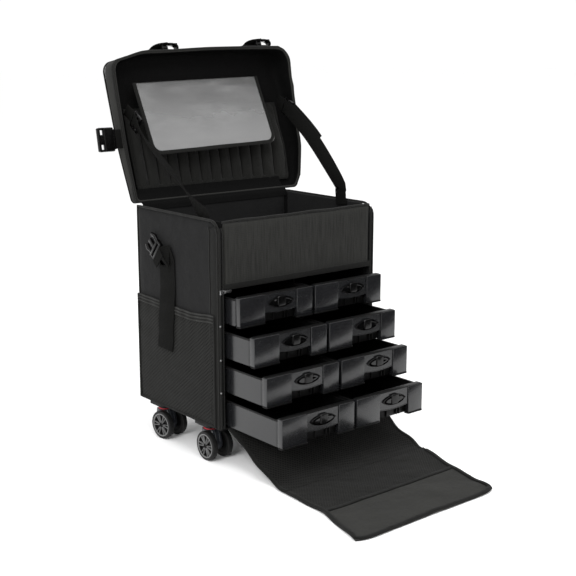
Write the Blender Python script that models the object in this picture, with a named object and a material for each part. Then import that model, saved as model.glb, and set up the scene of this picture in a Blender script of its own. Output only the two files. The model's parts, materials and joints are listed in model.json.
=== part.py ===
"""A rolling soft-sided makeup train case: lid up, eight drawers stepped out, front flap let down.

Every number below is in metres in the case's own frame: x to the right, y to the back and z up from the
body's bottom edge, with x = y = 0 at the middle of the body. The "case" empty then stands that frame on
the floor, under the middle of the whole outline.
"""

import math

import bmesh
import bpy
from mathutils import Vector

GAP = 0.0005  # between pieces that touch

# body
WIDTH = 0.388
DEPTH = 0.278
HEIGHT = 0.402
SIDE_WALL = 0.008
BACK_WALL = 0.012
FRONT_WALL = 0.008
BOARD = 0.004
OPENING_TOP = 0.272
FLOOR_BELOW_BODY = 0.074

# drawers: rows from the top down
ROWS = 4
ROW_PITCH = 0.0668
LOWEST_DRAWER = 0.0055
DRAWER_OUT = (0.042, 0.0845, 0.120, 0.164)
FRONT_HEIGHT = 0.057
FRONT_THICK = 0.014
FRONT_OUTER_X = 0.180
FRONT_INNER_X = 0.0030
TRAY_LENGTH = 0.240
TRAY_WALL = 0.0022

# lid
LID_OPEN = math.radians(100.0)
LID_LENGTH = 0.290
LID_SHIFT = 0.010
LID_HALF_BACK = 0.203
LID_HALF_FRONT = 0.216
LID_DEPTH_BACK = 0.020
LID_DEPTH_FRONT = 0.047
LID_WALL = 0.005
WINDOW_TOP = 0.245
WINDOW_SINK = 0.022
WINDOW_LEAN = math.radians(14.7)
HINGE_Y = DEPTH / 2 + 0.001
HINGE_Z = HEIGHT + 0.003

# front flap
FLAP_THICK = 0.005
FLAP_HALF = 0.180
FLAP_FOLD_Y = -0.315
FLAP_SEAM_Y = -0.420
FLAP_END_Y = -0.545
FLAP_HINGE_Z = 0.004

# casters
WHEEL_RADIUS = 0.029
WHEEL_WIDTH = 0.012
WHEELS_ACROSS = 0.048
CASTER_X = 0.170
CASTER_Y = (-0.072, 0.088)
CASTER_TRAIL = 0.012
CASTER_TURN = (0.0, math.radians(7.0))
AXLE_RADIUS = 0.003
AXLE_Z = WHEEL_RADIUS - FLOOR_BELOW_BODY

# handle
HANDLE_X = 0.070
SLEEVE_TOP = 0.318
GRIP_HEIGHT = 0.022

WEBBING = 0.050
OUTLINE_LEFT = -0.259  # tip of the buckle that stands out of the lid's left side
OUTLINE_RIGHT = LID_SHIFT + LID_HALF_FRONT + 0.010
OUTLINE_BACK = 0.240
CASE_AT = Vector(
    (
        -(OUTLINE_LEFT + OUTLINE_RIGHT) / 2,
        -(FLAP_END_Y + OUTLINE_BACK) / 2,
        FLOOR_BELOW_BODY,
    )
)

for old in list(bpy.data.objects):
    bpy.data.objects.remove(old)


def material(name, color, roughness, metallic=0.0, alpha=1.0):
    made = bpy.data.materials.new(name)
    made.use_nodes = True
    shader = made.node_tree.nodes["Principled BSDF"]
    shader.inputs["Base Color"].default_value = (*color, 1.0)
    shader.inputs["Roughness"].default_value = roughness
    shader.inputs["Metallic"].default_value = metallic
    shader.inputs["Alpha"].default_value = alpha
    return made


MATERIALS = {
    "nylon": material("nylon", (0.026, 0.026, 0.028), 0.8),
    "lining": material("lining", (0.022, 0.022, 0.021), 0.85),
    "mesh": material("mesh", (0.024, 0.025, 0.022), 0.85),
    "webbing": material("webbing", (0.024, 0.025, 0.023), 0.8),
    "board": material("board", (0.015, 0.015, 0.016), 0.7),
    "drawer": material("drawer", (0.035, 0.034, 0.036), 0.18),
    "buckle": material("buckle", (0.012, 0.012, 0.012), 0.3),
    "fork": material("fork", (0.03, 0.032, 0.037), 0.4),
    "wheel": material("wheel", (0.015, 0.015, 0.015), 0.6),
    "window": material("window", (0.6, 0.61, 0.6), 0.2, alpha=0.35),
    "tube": material("tube", (0.35, 0.35, 0.36), 0.3, metallic=1.0),
}


def empty(name, parent=None, at=(0, 0, 0), turn=None):
    made = bpy.data.objects.new(name, None)
    bpy.context.scene.collection.objects.link(made)
    made.parent = parent
    made.location = at
    if turn is not None:
        made.rotation_euler = turn
    return made


def finish_mesh(name, bm):
    bmesh.ops.remove_doubles(bm, verts=bm.verts, dist=1e-6)
    bmesh.ops.recalc_face_normals(bm, faces=bm.faces)
    mesh = bpy.data.meshes.new(name)
    bm.to_mesh(mesh)
    bm.free()
    mesh.shade_smooth()
    mesh.set_sharp_from_angle(angle=math.radians(32))
    return mesh


def node(name, mesh, slot, parent, at=(0, 0, 0)):
    made = bpy.data.objects.new(name, mesh)
    bpy.context.scene.collection.objects.link(made)
    made.data.materials.clear()
    made.data.materials.append(MATERIALS[slot])
    made.parent = parent
    made.location = at
    return made


def loft(name, rings, closed_loop=False):
    """A body through rings of equally many points, with its two end rings capped."""
    bm = bmesh.new()
    rows = [[bm.verts.new(p) for p in ring] for ring in rings]
    pairs = list(zip(rows, rows[1:]))
    if closed_loop:
        pairs.append((rows[-1], rows[0]))
    for low, high in pairs:
        count = len(low)
        for i in range(count):
            j = (i + 1) % count
            bm.faces.new((low[i], low[j], high[j], high[i]))
    if not closed_loop:
        bm.faces.new(reversed(rows[0]))
        bm.faces.new(rows[-1])
    return finish_mesh(name, bm)


def rounded(a0, a1, b0, b1, radius, steps=3):
    """Corner-rounded rectangle as (a, b) pairs, anticlockwise from the low corner's side."""
    centres = (
        (a0 + radius, b0 + radius, 180),
        (a1 - radius, b0 + radius, 270),
        (a1 - radius, b1 - radius, 0),
        (a0 + radius, b1 - radius, 90),
    )
    points = []
    for a, b, start in centres:
        for i in range(steps + 1):
            t = math.radians(start + 90 * i / steps)
            points.append((a + radius * math.cos(t), b + radius * math.sin(t)))
    return points


def plate(name, low, high, across=2, radius=0.0, steps=3):
    """A slab between two corners, its outline rounded in the plane square to the axis `across`."""
    others = [i for i in range(3) if i != across]
    a, b = others
    if radius:
        outline = rounded(low[a], high[a], low[b], high[b], radius, steps)
    else:
        outline = [(low[a], low[b]), (high[a], low[b]), (high[a], high[b]), (low[a], high[b])]
    rings = []
    for level in (low[across], high[across]):
        ring = []
        for p, q in outline:
            point = [0.0, 0.0, 0.0]
            point[a], point[b], point[across] = p, q, level
            ring.append(point)
        rings.append(ring)
    return loft(name, rings)


def prism(name, outline, across, low, high):
    """An outline of (a, b) pairs drawn out along the axis `across`."""
    others = [i for i in range(3) if i != across]
    rings = []
    for level in (low, high):
        ring = []
        for p, q in outline:
            point = [0.0, 0.0, 0.0]
            point[others[0]], point[others[1]], point[across] = p, q, level
            ring.append(point)
        rings.append(ring)
    return loft(name, rings)


def turned(name, profile, steps=24):
    """A body turned about x from (x, radius) pairs; the first and last radius close it."""
    rings = []
    for x, radius in profile:
        angles = [2 * math.pi * i / steps for i in range(steps)]
        rings.append([(x, radius * math.cos(t), radius * math.sin(t)) for t in angles])
    return loft(name, rings)


def cut(target, name, mesh, parent):
    """Cuts a hidden body out of the target."""
    cutter = node(name, mesh, "board", parent)
    cutter.hide_render = True
    cutter.display_type = "WIRE"
    modifier = target.modifiers.new(name, "BOOLEAN")
    modifier.object = cutter
    modifier.operation = "DIFFERENCE"
    modifier.solver = "EXACT"
    return cutter


def mirrored(side, low, high):
    """Corners of a slab on the left (side -1) or right (side 1) from its right-hand x range."""
    x0, x1 = sorted((side * low[0], side * high[0]))
    return (x0, low[1], low[2]), (x1, high[1], high[2])


case = empty("case", at=CASE_AT)
HALF_W = WIDTH / 2
HALF_D = DEPTH / 2
INNER_X = HALF_W - SIDE_WALL - GAP
INNER_BACK = HALF_D - BACK_WALL
SIDES = (("left", -1), ("right", 1))


def side_outline():
    """The side wall in y and z: square but for its rounded top front corner."""
    radius = 0.026
    centre = (-HALF_D + radius, HEIGHT - radius)
    points = [(-HALF_D, 0.0), (HALF_D, 0.0), (HALF_D, HEIGHT)]
    for i in range(6):
        t = math.radians(90 + 18 * i)
        points.append((centre[0] + radius * math.cos(t), centre[1] + radius * math.sin(t)))
    return points


def body_shell():
    for label, side in SIDES:
        x0, x1 = sorted((side * (HALF_W - SIDE_WALL), side * HALF_W))
        node("side_panel_" + label, prism("side", side_outline(), 0, x0, x1), "nylon", case)
    low = (-INNER_X, INNER_BACK, BOARD + GAP)
    node("back_panel", plate("back", low, (INNER_X, HALF_D, HEIGHT)), "nylon", case)
    low = (-INNER_X, -HALF_D, 0.0)
    node("base_board", plate("base", low, (INNER_X, HALF_D, BOARD)), "board", case)
    low = (-INNER_X, -HALF_D, OPENING_TOP)
    high = (INNER_X, -HALF_D + FRONT_WALL, HEIGHT - 0.004)
    node("front_panel", plate("front", low, high), "nylon", case)
    low = (-INNER_X, -HALF_D + FRONT_WALL + GAP, OPENING_TOP)
    high = (INNER_X, INNER_BACK - GAP, OPENING_TOP + 0.006)
    node("compartment_floor", plate("shelf", low, high), "board", case)


def drawer_z(row):
    return LOWEST_DRAWER + (ROWS - 1 - row) * ROW_PITCH


def cabinet():
    """Two walls and a divider, each with rails under every drawer."""
    wall = 0.002
    rail = 0.009
    rail_high = 0.003
    y0, y1 = -HALF_D + FRONT_THICK + 0.004, INNER_BACK - GAP
    top = OPENING_TOP - GAP
    bottom = BOARD + GAP
    for label, side in SIDES:
        face = INNER_X - GAP
        points = [(face, bottom), (face, top), (face - wall, top)]
        for row in range(ROWS - 1):
            level = drawer_z(row) - GAP
            points += [(face - wall, level), (face - rail, level)]
            points += [(face - rail, level - rail_high), (face - wall, level - rail_high)]
        points.append((face - wall, bottom))
        points = [(side * x, z) for x, z in points]
        node("cabinet_wall_" + label, prism("wall", points, 1, y0, y1), "drawer", case)
    half = 0.0010
    right = [(half, bottom)]
    for row in reversed(range(ROWS - 1)):
        level = drawer_z(row) - GAP
        right += [(half, level - rail_high), (rail, level - rail_high), (rail, level), (half, level)]
    right.append((half, top))
    left = [(-x, z) for x, z in reversed(right)]
    node("cabinet_divider", prism("divider", right + left, 1, y0, y1), "drawer", case)


def front_mesh():
    """One drawer front from its own left bottom corner: x along its width, y back from its face."""
    width = FRONT_OUTER_X - FRONT_INNER_X
    outline = rounded(0.0, width, 0.0, FRONT_THICK, 0.0035, 2)
    rings = [[(x, y, z) for x, y in outline] for z in (0.0, FRONT_HEIGHT)]
    return loft("drawer_front", rings), width


def drawers():
    """Eight trays with their fronts; a drawer's empty sits at its front's bottom left corner."""
    front, width = front_mesh()
    middle = (0.061, 0.137)
    set_back = plate("set_back", (middle[0], -0.01, 0.0035), (middle[1], 0.0022, FRONT_HEIGHT + 0.01))
    recess = plate("recess", (middle[0] + 0.002, -0.01, 0.005), (middle[1] - 0.002, 0.0095, 0.0195))
    tray_low = (0.0018, FRONT_THICK + GAP, 0.0)
    tray_high = (width - 0.0018, FRONT_THICK + GAP + TRAY_LENGTH, FRONT_HEIGHT - 0.004)

    def ring(inset, z):
        outline = rounded(
            tray_low[0] + inset, tray_high[0] - inset, tray_low[1] + inset, tray_high[1] - inset, 0.004, 2
        )
        return [(x, y, z) for x, y in outline]

    rings = [ring(0, 0), ring(0, tray_high[2]), ring(TRAY_WALL, tray_high[2]), ring(TRAY_WALL, TRAY_WALL)]
    tray = loft("drawer_tray", rings)
    for row in range(ROWS):
        for label, x in (("left", -FRONT_OUTER_X), ("right", FRONT_INNER_X)):
            name = f"{row + 1}_{label}"
            at = (x, -HALF_D - DRAWER_OUT[row], drawer_z(row))
            slide = empty("drawer_" + name, case, at)
            node("tray_" + name, tray.copy(), "drawer", slide)
            face = node("drawer_front_" + name, front.copy(), "drawer", slide)
            cut(face, "set_back_" + name, set_back.copy(), slide)
            cut(face, "recess_" + name, recess.copy(), slide)


def side_trim():
    """Mesh pockets, hanging straps and their buckles on the two sides."""
    out = HALF_W + GAP
    for label, side in SIDES:
        low, high = mirrored(side, (out, -0.130, 0.004), (out + 0.004, 0.133, 0.212))
        node("mesh_pocket_" + label, plate("pocket", low, high, 0, 0.012), "mesh", case)
        low, high = mirrored(side, (out, 0.012, 0.2125), (out + 0.003, 0.012 + WEBBING, 0.332))
        node("side_strap_" + label, plate("strap", low, high), "webbing", case)
        low, high = mirrored(side, (out, 0.062 + GAP, 0.310), (out + 0.008, 0.116, 0.352))
        node("side_buckle_" + label, plate("buckle", low, high, 0, 0.006), "buckle", case)


def fork_outline():
    """The fork in y and z about its swivel axis, from its head down round the axle."""
    head = 0.016
    top = -0.0150
    hub = 0.012
    points = [(head, top), (-head, top)]
    points.append((-head - 0.002, top - 0.008))
    for i in range(9):
        t = math.radians(170 + 22.5 * i)
        points.append((-CASTER_TRAIL + hub * math.cos(t), AXLE_Z + hub * math.sin(t)))
    points.append((head, top - 0.010))
    return points


def casters():
    rim = WHEELS_ACROSS / 2
    inner = rim - WHEEL_WIDTH
    bevel = 0.002
    profile = [(-rim, WHEEL_RADIUS - bevel), (-rim + bevel, WHEEL_RADIUS), (-inner - bevel, WHEEL_RADIUS)]
    profile += [(-inner, WHEEL_RADIUS - bevel), (-inner, AXLE_RADIUS)]
    profile += [(-x, r) for x, r in reversed(profile)]
    wheels = turned("wheels", profile)
    fork = prism("fork", fork_outline(), 0, -inner + 0.0015, inner - 0.0015)
    bore = turned("bore", [(-0.03, AXLE_RADIUS + 0.0006), (0.03, AXLE_RADIUS + 0.0006)])
    plate_half = 0.024
    stem = 0.0125
    mount = [[(x, y, z) for x, y in rounded(-h, h, -h, h, r, 4)]
             for h, r, z in ((plate_half, 0.006, -GAP), (plate_half, 0.006, -0.006),
                             (stem, stem - 0.0005, -0.0062), (stem, stem - 0.0005, -0.0140))]
    for end, y, turn in (("front", CASTER_Y[0], CASTER_TURN[0]), ("rear", CASTER_Y[1], CASTER_TURN[1])):
        for label, side in SIDES:
            name = f"{end}_{label}"
            at = (side * CASTER_X, y, 0.0)
            node("caster_mount_" + name, loft("mount", mount), "fork", case, at)
            swivel = empty("swivel_" + name, case, at, (0, 0, -side * turn))
            leg = node("caster_fork_" + name, fork.copy(), "fork", swivel)
            bore_cut = cut(leg, "bore_" + name, bore.copy(), swivel)
            bore_cut.location = (0, -CASTER_TRAIL, AXLE_Z)
            spin = empty("spin_" + name, swivel, (0, -CASTER_TRAIL, AXLE_Z))
            node("caster_wheels_" + name, wheels.copy(), "wheel", spin)


def lid_half(s):
    return LID_HALF_BACK + (LID_HALF_FRONT - LID_HALF_BACK) * s / LID_LENGTH


def lid_depth(s):
    return LID_DEPTH_BACK + (LID_DEPTH_FRONT - LID_DEPTH_BACK) * s / LID_LENGTH


def lid_ring(inset, level):
    """The lid's rounded outline, closed lid seen from above, at a share `level` of its depth."""
    points = []
    for x, s in rounded(-1.0, 1.0, 0.0, 1.0, 0.12, 4):
        run = inset + s * (LID_LENGTH - 2 * inset)
        reach = x * (lid_half(run) - inset)
        points.append((reach, -run, level(run)))
    return points


def lid_parts():
    """The lid hangs on its empty as if closed: x across, -y from hinge to front edge, z to its top."""
    hinge = empty("lid_hinge", case, (LID_SHIFT, HINGE_Y, HINGE_Z), (-LID_OPEN, 0, 0))
    crown = 0.008
    rings = [
        lid_ring(crown, lid_depth),
        lid_ring(0.0, lambda s: lid_depth(s) - crown),
        lid_ring(0.0, lambda s: 0.0),
        lid_ring(LID_WALL, lambda s: 0.0),
        lid_ring(LID_WALL + 0.004, lambda s: lid_depth(s) - LID_WALL),
    ]
    node("lid_shell", loft("lid_shell", rings), "nylon", hinge)
    near, far = 0.030, 0.272
    half = 0.158
    thick = 0.007
    under = [lid_depth(s) - LID_WALL - 0.0012 for s in (near, far)]
    outline = [(-near, under[0]), (-far, under[1]), (-far, under[1] - thick), (-near, under[0] - thick)]
    node("brush_slot_panel", prism("slots", outline, 0, -half, half), "lining", hinge)
    for label, side in SIDES:
        low, high = mirrored(side, (0.072, -0.326, 0.014), (0.128, -LID_LENGTH - GAP, 0.027))
        node("lid_front_buckle_" + label, plate("front_buckle", low, high, 2, 0.005), "buckle", hinge)
    reach = lid_half(0.13) + GAP
    tip = -OUTLINE_LEFT + LID_SHIFT
    low, high = (-tip, -0.154, 0.004), (-reach - 0.001, -0.106, 0.014)
    node("lid_side_buckle_left", plate("side_buckle", low, high, 2, 0.005), "buckle", hinge)
    low, high = (reach + 0.001, -0.154, -0.030), (reach + 0.009, -0.106, 0.014)
    node("lid_side_buckle_right", plate("side_buckle", low, high, 0, 0.005), "buckle", hinge)
    window(hinge)


def window(hinge):
    """The clear brush cover: a bound pane sewn on along its top, its free edge standing out of the lid."""
    pivot = empty("window_pivot", hinge, (0, -WINDOW_TOP, WINDOW_SINK), (-WINDOW_LEAN, 0, 0))
    half = 0.152
    drop = 0.144
    band = 0.009
    thick = 0.0012
    outer = rounded(-half, half, 0.0, drop, 0.020, 5)
    inner = rounded(-half + band, half - band, band, drop - band, 0.013, 5)

    def ring(outline, z):
        return [(x, y, z) for x, y in outline]

    rings = [ring(outer, -thick), ring(outer, thick), ring(inner, thick), ring(inner, -thick)]
    node("window_binding", loft("binding", rings, closed_loop=True), "webbing", pivot)
    pane = rounded(-half + band + GAP, half - band - GAP, band + GAP, drop - band - GAP, 0.0125, 5)
    node("window_pane", loft("pane", [ring(pane, -0.0004), ring(pane, 0.0004)]), "window", pivot)


def stay_straps():
    """The two straps that stop the open lid, from high in its sides to the body's front corners."""
    half = 0.014
    thick = 0.0022
    top = Vector((0.172, 0.575))
    low = Vector((-0.060, 0.412))
    down = (low - top).normalized()
    across = Vector((-down.y, down.x)) * half
    hem = Vector((0.0, 0.037))
    points = [top - across, top + across, low + across, low + across - hem, low - across - hem, low - across]
    body_x = 0.1815
    for label, side in SIDES:
        lid_x = body_x + (0.006 if side < 0 else 0.026)
        rings = []
        for shift in (-thick / 2, thick / 2):
            ring = []
            for p in points:
                share = min(1.0, max(0.0, (p - low).dot(top - low) / (top - low).length_squared))
                ring.append((side * (body_x + (lid_x - body_x) * share) + shift, p.x, p.y))
            rings.append(ring)
        node("stay_strap_" + label, loft("stay", rings), "webbing", case)


def flap():
    """The let-down front: a ramp from the body's bottom edge to the floor, and the part that lies flat."""
    floor = -FLOOR_BELOW_BODY
    hinge_y = -HALF_D - 0.0025
    ramp = empty("ramp_hinge", case, (0, hinge_y, FLAP_HINGE_Z - FLAP_THICK))
    base = Vector(ramp.location)
    top_line = [
        (hinge_y - 0.001, FLAP_HINGE_Z),
        (-0.177, -0.018 + FLAP_THICK),
        (-0.2205, -0.041 + FLAP_THICK),
        (-0.262, -0.062 + FLAP_THICK),
        (FLAP_FOLD_Y + GAP, floor + FLAP_THICK),
    ]
    under = [(y, max(z - FLAP_THICK, floor)) for y, z in reversed(top_line)]
    outline = [(y - base.y, z - base.z) for y, z in top_line + under]
    node("flap_ramp", prism("ramp", outline, 0, -FLAP_HALF, FLAP_HALF - 0.002), "lining", ramp)
    fold = empty("fold_hinge", ramp, Vector((0, FLAP_FOLD_Y, floor + FLAP_THICK)) - base)
    plan = [
        (-0.182, 0.0 - GAP),
        (-0.187, FLAP_SEAM_Y - FLAP_FOLD_Y),
        (-0.219, FLAP_END_Y - FLAP_FOLD_Y + 0.010),
        (-0.209, FLAP_END_Y - FLAP_FOLD_Y),
        (0.104, FLAP_END_Y - FLAP_FOLD_Y),
        (0.116, FLAP_END_Y - FLAP_FOLD_Y + 0.012),
        (0.143, FLAP_SEAM_Y - FLAP_FOLD_Y),
        (0.176, 0.0 - GAP),
    ]
    node("flap_apron", prism("apron", plan, 2, -FLAP_THICK, 0.0), "lining", fold)


def handle():
    """A telescopic handle on the back: a channelled housing, two tubes, a grip and its button."""
    back = HALF_D + GAP
    skin = 0.003
    channel = 0.014
    sleeve = 0.020
    outline = [(-0.094, back), (0.094, back), (0.094, back + skin)]
    for side in (1, -1):
        for edge in (sleeve / 2, -sleeve / 2):
            x = side * HANDLE_X + edge
            rise = (back + skin, back + sleeve)
            outline += [(x, z) for z in (rise if edge > 0 else rise[::-1])]
    outline.append((-0.094, back + skin))
    housing = node("handle_housing", prism("housing", outline, 2, 0.030, SLEEVE_TOP), "fork", case)
    lift = empty("handle_slide", case, (0, back + 0.0115, 0))
    for label, side in SIDES:
        x = side * HANDLE_X
        bore = plate("channel", (x - channel / 2, back + skin + 0.0015, 0.034),
                     (x + channel / 2, back + sleeve - 0.0025, 0.5))
        cut(housing, "channel_" + label, bore, case)
        low = (x - 0.006, -0.0055, 0.040)
        high = (x + 0.006, 0.0045, SLEEVE_TOP + 0.0045)
        node("handle_tube_" + label, plate("tube", low, high, 2, 0.002, 2), "tube", lift)
    low = (-HANDLE_X - 0.014, -0.0095, SLEEVE_TOP + 0.005)
    high = (HANDLE_X + 0.014, 0.0085, SLEEVE_TOP + 0.005 + GRIP_HEIGHT)
    grip = node("handle_grip", plate("grip", low, high, 1, 0.008, 4), "buckle", lift)
    well = plate("well", (-0.018, -0.005, high[2] - 0.008), (0.018, 0.004, high[2] + 0.01))
    cut(grip, "button_well", well, lift)
    press = empty("button_slide", lift, (0, -0.0005, high[2]))
    low, high = (-0.0172, -0.0037, -0.0035), (0.0172, 0.0037, 0.002)
    node("handle_button", plate("button", low, high, 2, 0.002, 2), "tube", press)


body_shell()
cabinet()
drawers()
side_trim()
casters()
lid_parts()
stay_straps()
flap()
handle()
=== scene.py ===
import json
from functools import partial
from math import atan2, ceil, cos, hypot, pi, radians, sin, sqrt, tan

import bmesh
import bpy
from mathutils import Matrix, Vector, noise


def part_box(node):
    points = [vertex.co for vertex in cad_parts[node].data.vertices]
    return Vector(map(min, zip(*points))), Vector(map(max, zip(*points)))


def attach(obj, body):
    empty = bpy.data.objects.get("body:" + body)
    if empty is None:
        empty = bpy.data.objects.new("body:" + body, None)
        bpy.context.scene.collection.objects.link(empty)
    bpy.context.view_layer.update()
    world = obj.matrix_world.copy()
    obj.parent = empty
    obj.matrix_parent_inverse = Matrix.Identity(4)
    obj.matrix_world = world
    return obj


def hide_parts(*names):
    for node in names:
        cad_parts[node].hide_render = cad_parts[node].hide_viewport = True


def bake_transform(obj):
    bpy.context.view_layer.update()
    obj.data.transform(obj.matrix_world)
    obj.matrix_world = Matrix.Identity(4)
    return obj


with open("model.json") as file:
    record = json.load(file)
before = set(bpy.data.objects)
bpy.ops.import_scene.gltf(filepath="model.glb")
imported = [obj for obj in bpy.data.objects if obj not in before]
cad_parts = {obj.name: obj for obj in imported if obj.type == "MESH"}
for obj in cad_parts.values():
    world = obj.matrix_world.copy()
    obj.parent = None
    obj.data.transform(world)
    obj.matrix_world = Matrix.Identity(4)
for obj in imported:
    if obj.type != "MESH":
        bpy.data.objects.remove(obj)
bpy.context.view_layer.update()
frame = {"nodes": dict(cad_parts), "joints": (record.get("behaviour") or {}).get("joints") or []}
NODES = frame["nodes"]
SIDES = (("left", -1), ("right", 1))

# ---- frames
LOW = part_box("side_panel_left")[0]
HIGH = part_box("side_panel_right")[1]
HALF_W, HALF_D, TOP = (HIGH.x - LOW.x) / 2, (HIGH.y - LOW.y) / 2, HIGH.z - LOW.z
CASE = Matrix.Translation(((LOW.x + HIGH.x) / 2, (LOW.y + HIGH.y) / 2, LOW.z))
JOINTS = {joint["name"]: joint for joint in frame["joints"]}


def pivot(name):
    return Vector(JOINTS[name]["pos_m"])


LID = Matrix.Translation(pivot("lid_hinge")) @ Matrix.Rotation(radians(-100), 4, "X")
LID_HALF_BACK, LID_HALF_FRONT, LID_LENGTH = 0.203, 0.216, 0.29
LID_DEPTH_BACK, LID_DEPTH_FRONT, LID_WALL = 0.02, 0.047, 0.005


# ---- materials
class Look:
    """A procedural material, with short calls that add and link its nodes."""

    def __init__(self, name, roughness=0.6, metallic=0, sheen=0, coat=0, specular=0.5):
        self.material = bpy.data.materials.new(name)
        self.material.use_nodes = True
        self.tree = self.material.node_tree
        self.shader = self.tree.nodes["Principled BSDF"]
        for socket, value in (
            ("Roughness", roughness),
            ("Metallic", metallic),
            ("Sheen Weight", sheen),
            ("Coat Weight", coat),
            ("Specular IOR Level", specular),
        ):
            self.shader.inputs[socket].default_value = value

    def add(self, kind, inputs=(), **settings):
        made = self.tree.nodes.new("ShaderNode" + kind)
        for name, value in settings.items():
            setattr(made, name, value)
        for name, value in dict(inputs).items():
            if isinstance(value, bpy.types.NodeSocket):
                self.tree.links.new(value, made.inputs[name])
            else:
                made.inputs[name].default_value = value
        return made

    def math(self, operation, a, b=0):
        return self.add("Math", {0: a, 1: b}, operation=operation).outputs[0]

    def times(self, a, b):
        return self.math("MULTIPLY", a, b)

    def wave(self, a, b=1):
        """The sine of a times b."""
        return self.math("SINE", self.times(a, b))

    def size(self, a):
        return self.math("ABSOLUTE", a)

    def axes(self, scale, turn=0):
        """The piece's UVs in metres, scaled and turned, as separate sockets."""
        return self.add("SeparateXYZ", {0: self.coords(scale=(scale,) * 3, turn=turn)}).outputs

    def mix(self, factor, a, b):
        """A mix of two colours; 6 and 7 are the Mix node's colour inputs, 2 its colour output."""
        return self.add("Mix", {0: factor, 6: a, 7: b}, data_type="RGBA").outputs[2]

    def coords(self, uv=True, scale=(1, 1, 1), turn=0):
        source = self.add("TexCoord").outputs["UV" if uv else "Object"]
        return self.add("Mapping", {"Vector": source, "Scale": scale, "Rotation": (0, 0, turn)}).outputs[0]

    def noise(self, where, scale, detail=3, roughness=0.55):
        inputs = {"Vector": where, "Scale": scale, "Detail": detail, "Roughness": roughness}
        return self.add("TexNoise", inputs).outputs["Fac"]

    def span(self, value, low, high, to_low=0, to_high=1):
        inputs = {0: value, 1: low, 2: high, 3: to_low, 4: to_high}
        return self.add("MapRange", inputs).outputs[0]

    def bump(self, height, distance, strength=1, under=None):
        inputs = {"Height": height, "Distance": distance, "Strength": strength}
        if under is not None:
            inputs["Normal"] = under
        return self.add("Bump", inputs).outputs[0]

    def feed(self, socket, value):
        self.tree.links.new(value, self.shader.inputs[socket])


def grey(value, tint=(1, 1, 1)):
    return (*(value * t for t in tint), 1)


def shade(color, factor):
    return (*(c * factor for c in color[:3]), 1)


def plain_weave(look, pitch):
    """Height of over-and-under threads at a real pitch."""
    u, v, _ = look.axes(1 / pitch)
    warp, weft = (look.size(look.wave(axis, pi)) for axis in (u, v))
    cell = look.math("ADD", look.math("FLOOR", u), look.math("FLOOR", v))
    odd = look.size(look.math("MODULO", cell, 2))
    return look.math("ADD", look.times(warp, odd), look.times(weft, look.math("SUBTRACT", 1, odd)))


def net(look, pitch):
    """Height of a knitted net with round holes set on the diagonal."""
    u, v, _ = look.axes(pi / pitch, radians(38))
    u, v = look.math("SINE", u), look.wave(v, 0.8)
    hole = look.times(look.times(u, u), look.times(v, v))
    return look.math("SUBTRACT", 1, look.span(hole, 0.12, 0.45))


def ribbed(look, pitch):
    """Height of webbing: ribs along its length with slanted threads on them."""
    u, v, _ = look.axes(1 / pitch)
    rib = look.size(look.wave(u, pi))
    side = look.size(look.math("SUBTRACT", look.math("FRACT", u), 0.5))
    slant = look.wave(look.math("ADD", v, side), 2 * pi)
    return look.math("ADD", rib, look.times(slant, 0.35))


def streaks(look, pitch):
    """Height of a coarse cloth whose upright threads show as fine broken streaks."""
    fine = look.noise(look.coords(scale=(1 / pitch, 0.06 / pitch, 1)), 1, 2)
    return look.math("ADD", look.times(fine, 1.3), look.times(plain_weave(look, pitch), 0.4))


def cloth(name, color, pattern, pitch, depth, roughness=0.85, sheen=0.04, contrast=0.45, crease=0.0006, share=0.55):
    look = Look(name, roughness, sheen=sheen, specular=0.06)
    height = pattern(look, pitch)
    where = look.coords(uv=False)
    broad = look.noise(where, 14, 4)
    fleck = look.noise(where, 420, 2)
    thread = look.mix(look.span(height, 0.1, 1.1), shade(color, 1 - contrast), shade(color, 1 + contrast))
    worn = look.mix(look.span(broad, 0.35, 0.7), shade(color, 0.82), shade(color, 1.3))
    base = look.mix(1 - share, thread, worn)
    base = look.mix(look.span(fleck, 0.62, 0.8, 0, 0.35), base, shade(color, 2.4))
    look.feed("Base Color", base)
    look.feed("Roughness", look.span(broad, 0.3, 0.7, roughness - 0.08, min(1, roughness + 0.08)))
    soft = look.bump(look.noise(where, 22, 3), crease * 12, 0.35)
    look.feed("Normal", look.bump(height, depth, 0.6, soft))
    return look.material


def moulded(name, color, roughness, coat=0, grain=900, grain_depth=0.00004, wear=0.25, specular=0.5):
    look = Look(name, roughness, coat=coat, specular=specular)
    look.shader.inputs["Coat Roughness"].default_value = 0.06
    where = look.coords(uv=False)
    broad = look.noise(where, 18, 4)
    scuff = look.noise(look.coords(uv=False, scale=(1, 7, 2)), 60, 5, 0.7)
    base = look.mix(look.span(broad, 0.3, 0.7), shade(color, 0.88), shade(color, 1.14))
    base = look.mix(look.span(scuff, 0.6, 0.85, 0, wear), base, shade(color, 1.9))
    look.feed("Base Color", base)
    look.feed("Roughness", look.span(scuff, 0.3, 0.8, roughness * 0.8, roughness * 1.35))
    look.feed("Normal", look.bump(look.noise(where, grain, 2), grain_depth, 0.5))
    return look.material


def metal(name, color, roughness):
    look = Look(name, roughness, metallic=1)
    where = look.coords(uv=False, scale=(1, 1, 9))
    brushed = look.noise(where, 240, 3)
    look.feed("Base Color", look.mix(brushed, shade(color, 0.8), shade(color, 1.1)))
    look.feed("Roughness", look.span(brushed, 0.3, 0.7, roughness * 0.7, roughness * 1.4))
    look.feed("Normal", look.bump(brushed, 0.00003, 0.4))
    return look.material


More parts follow.
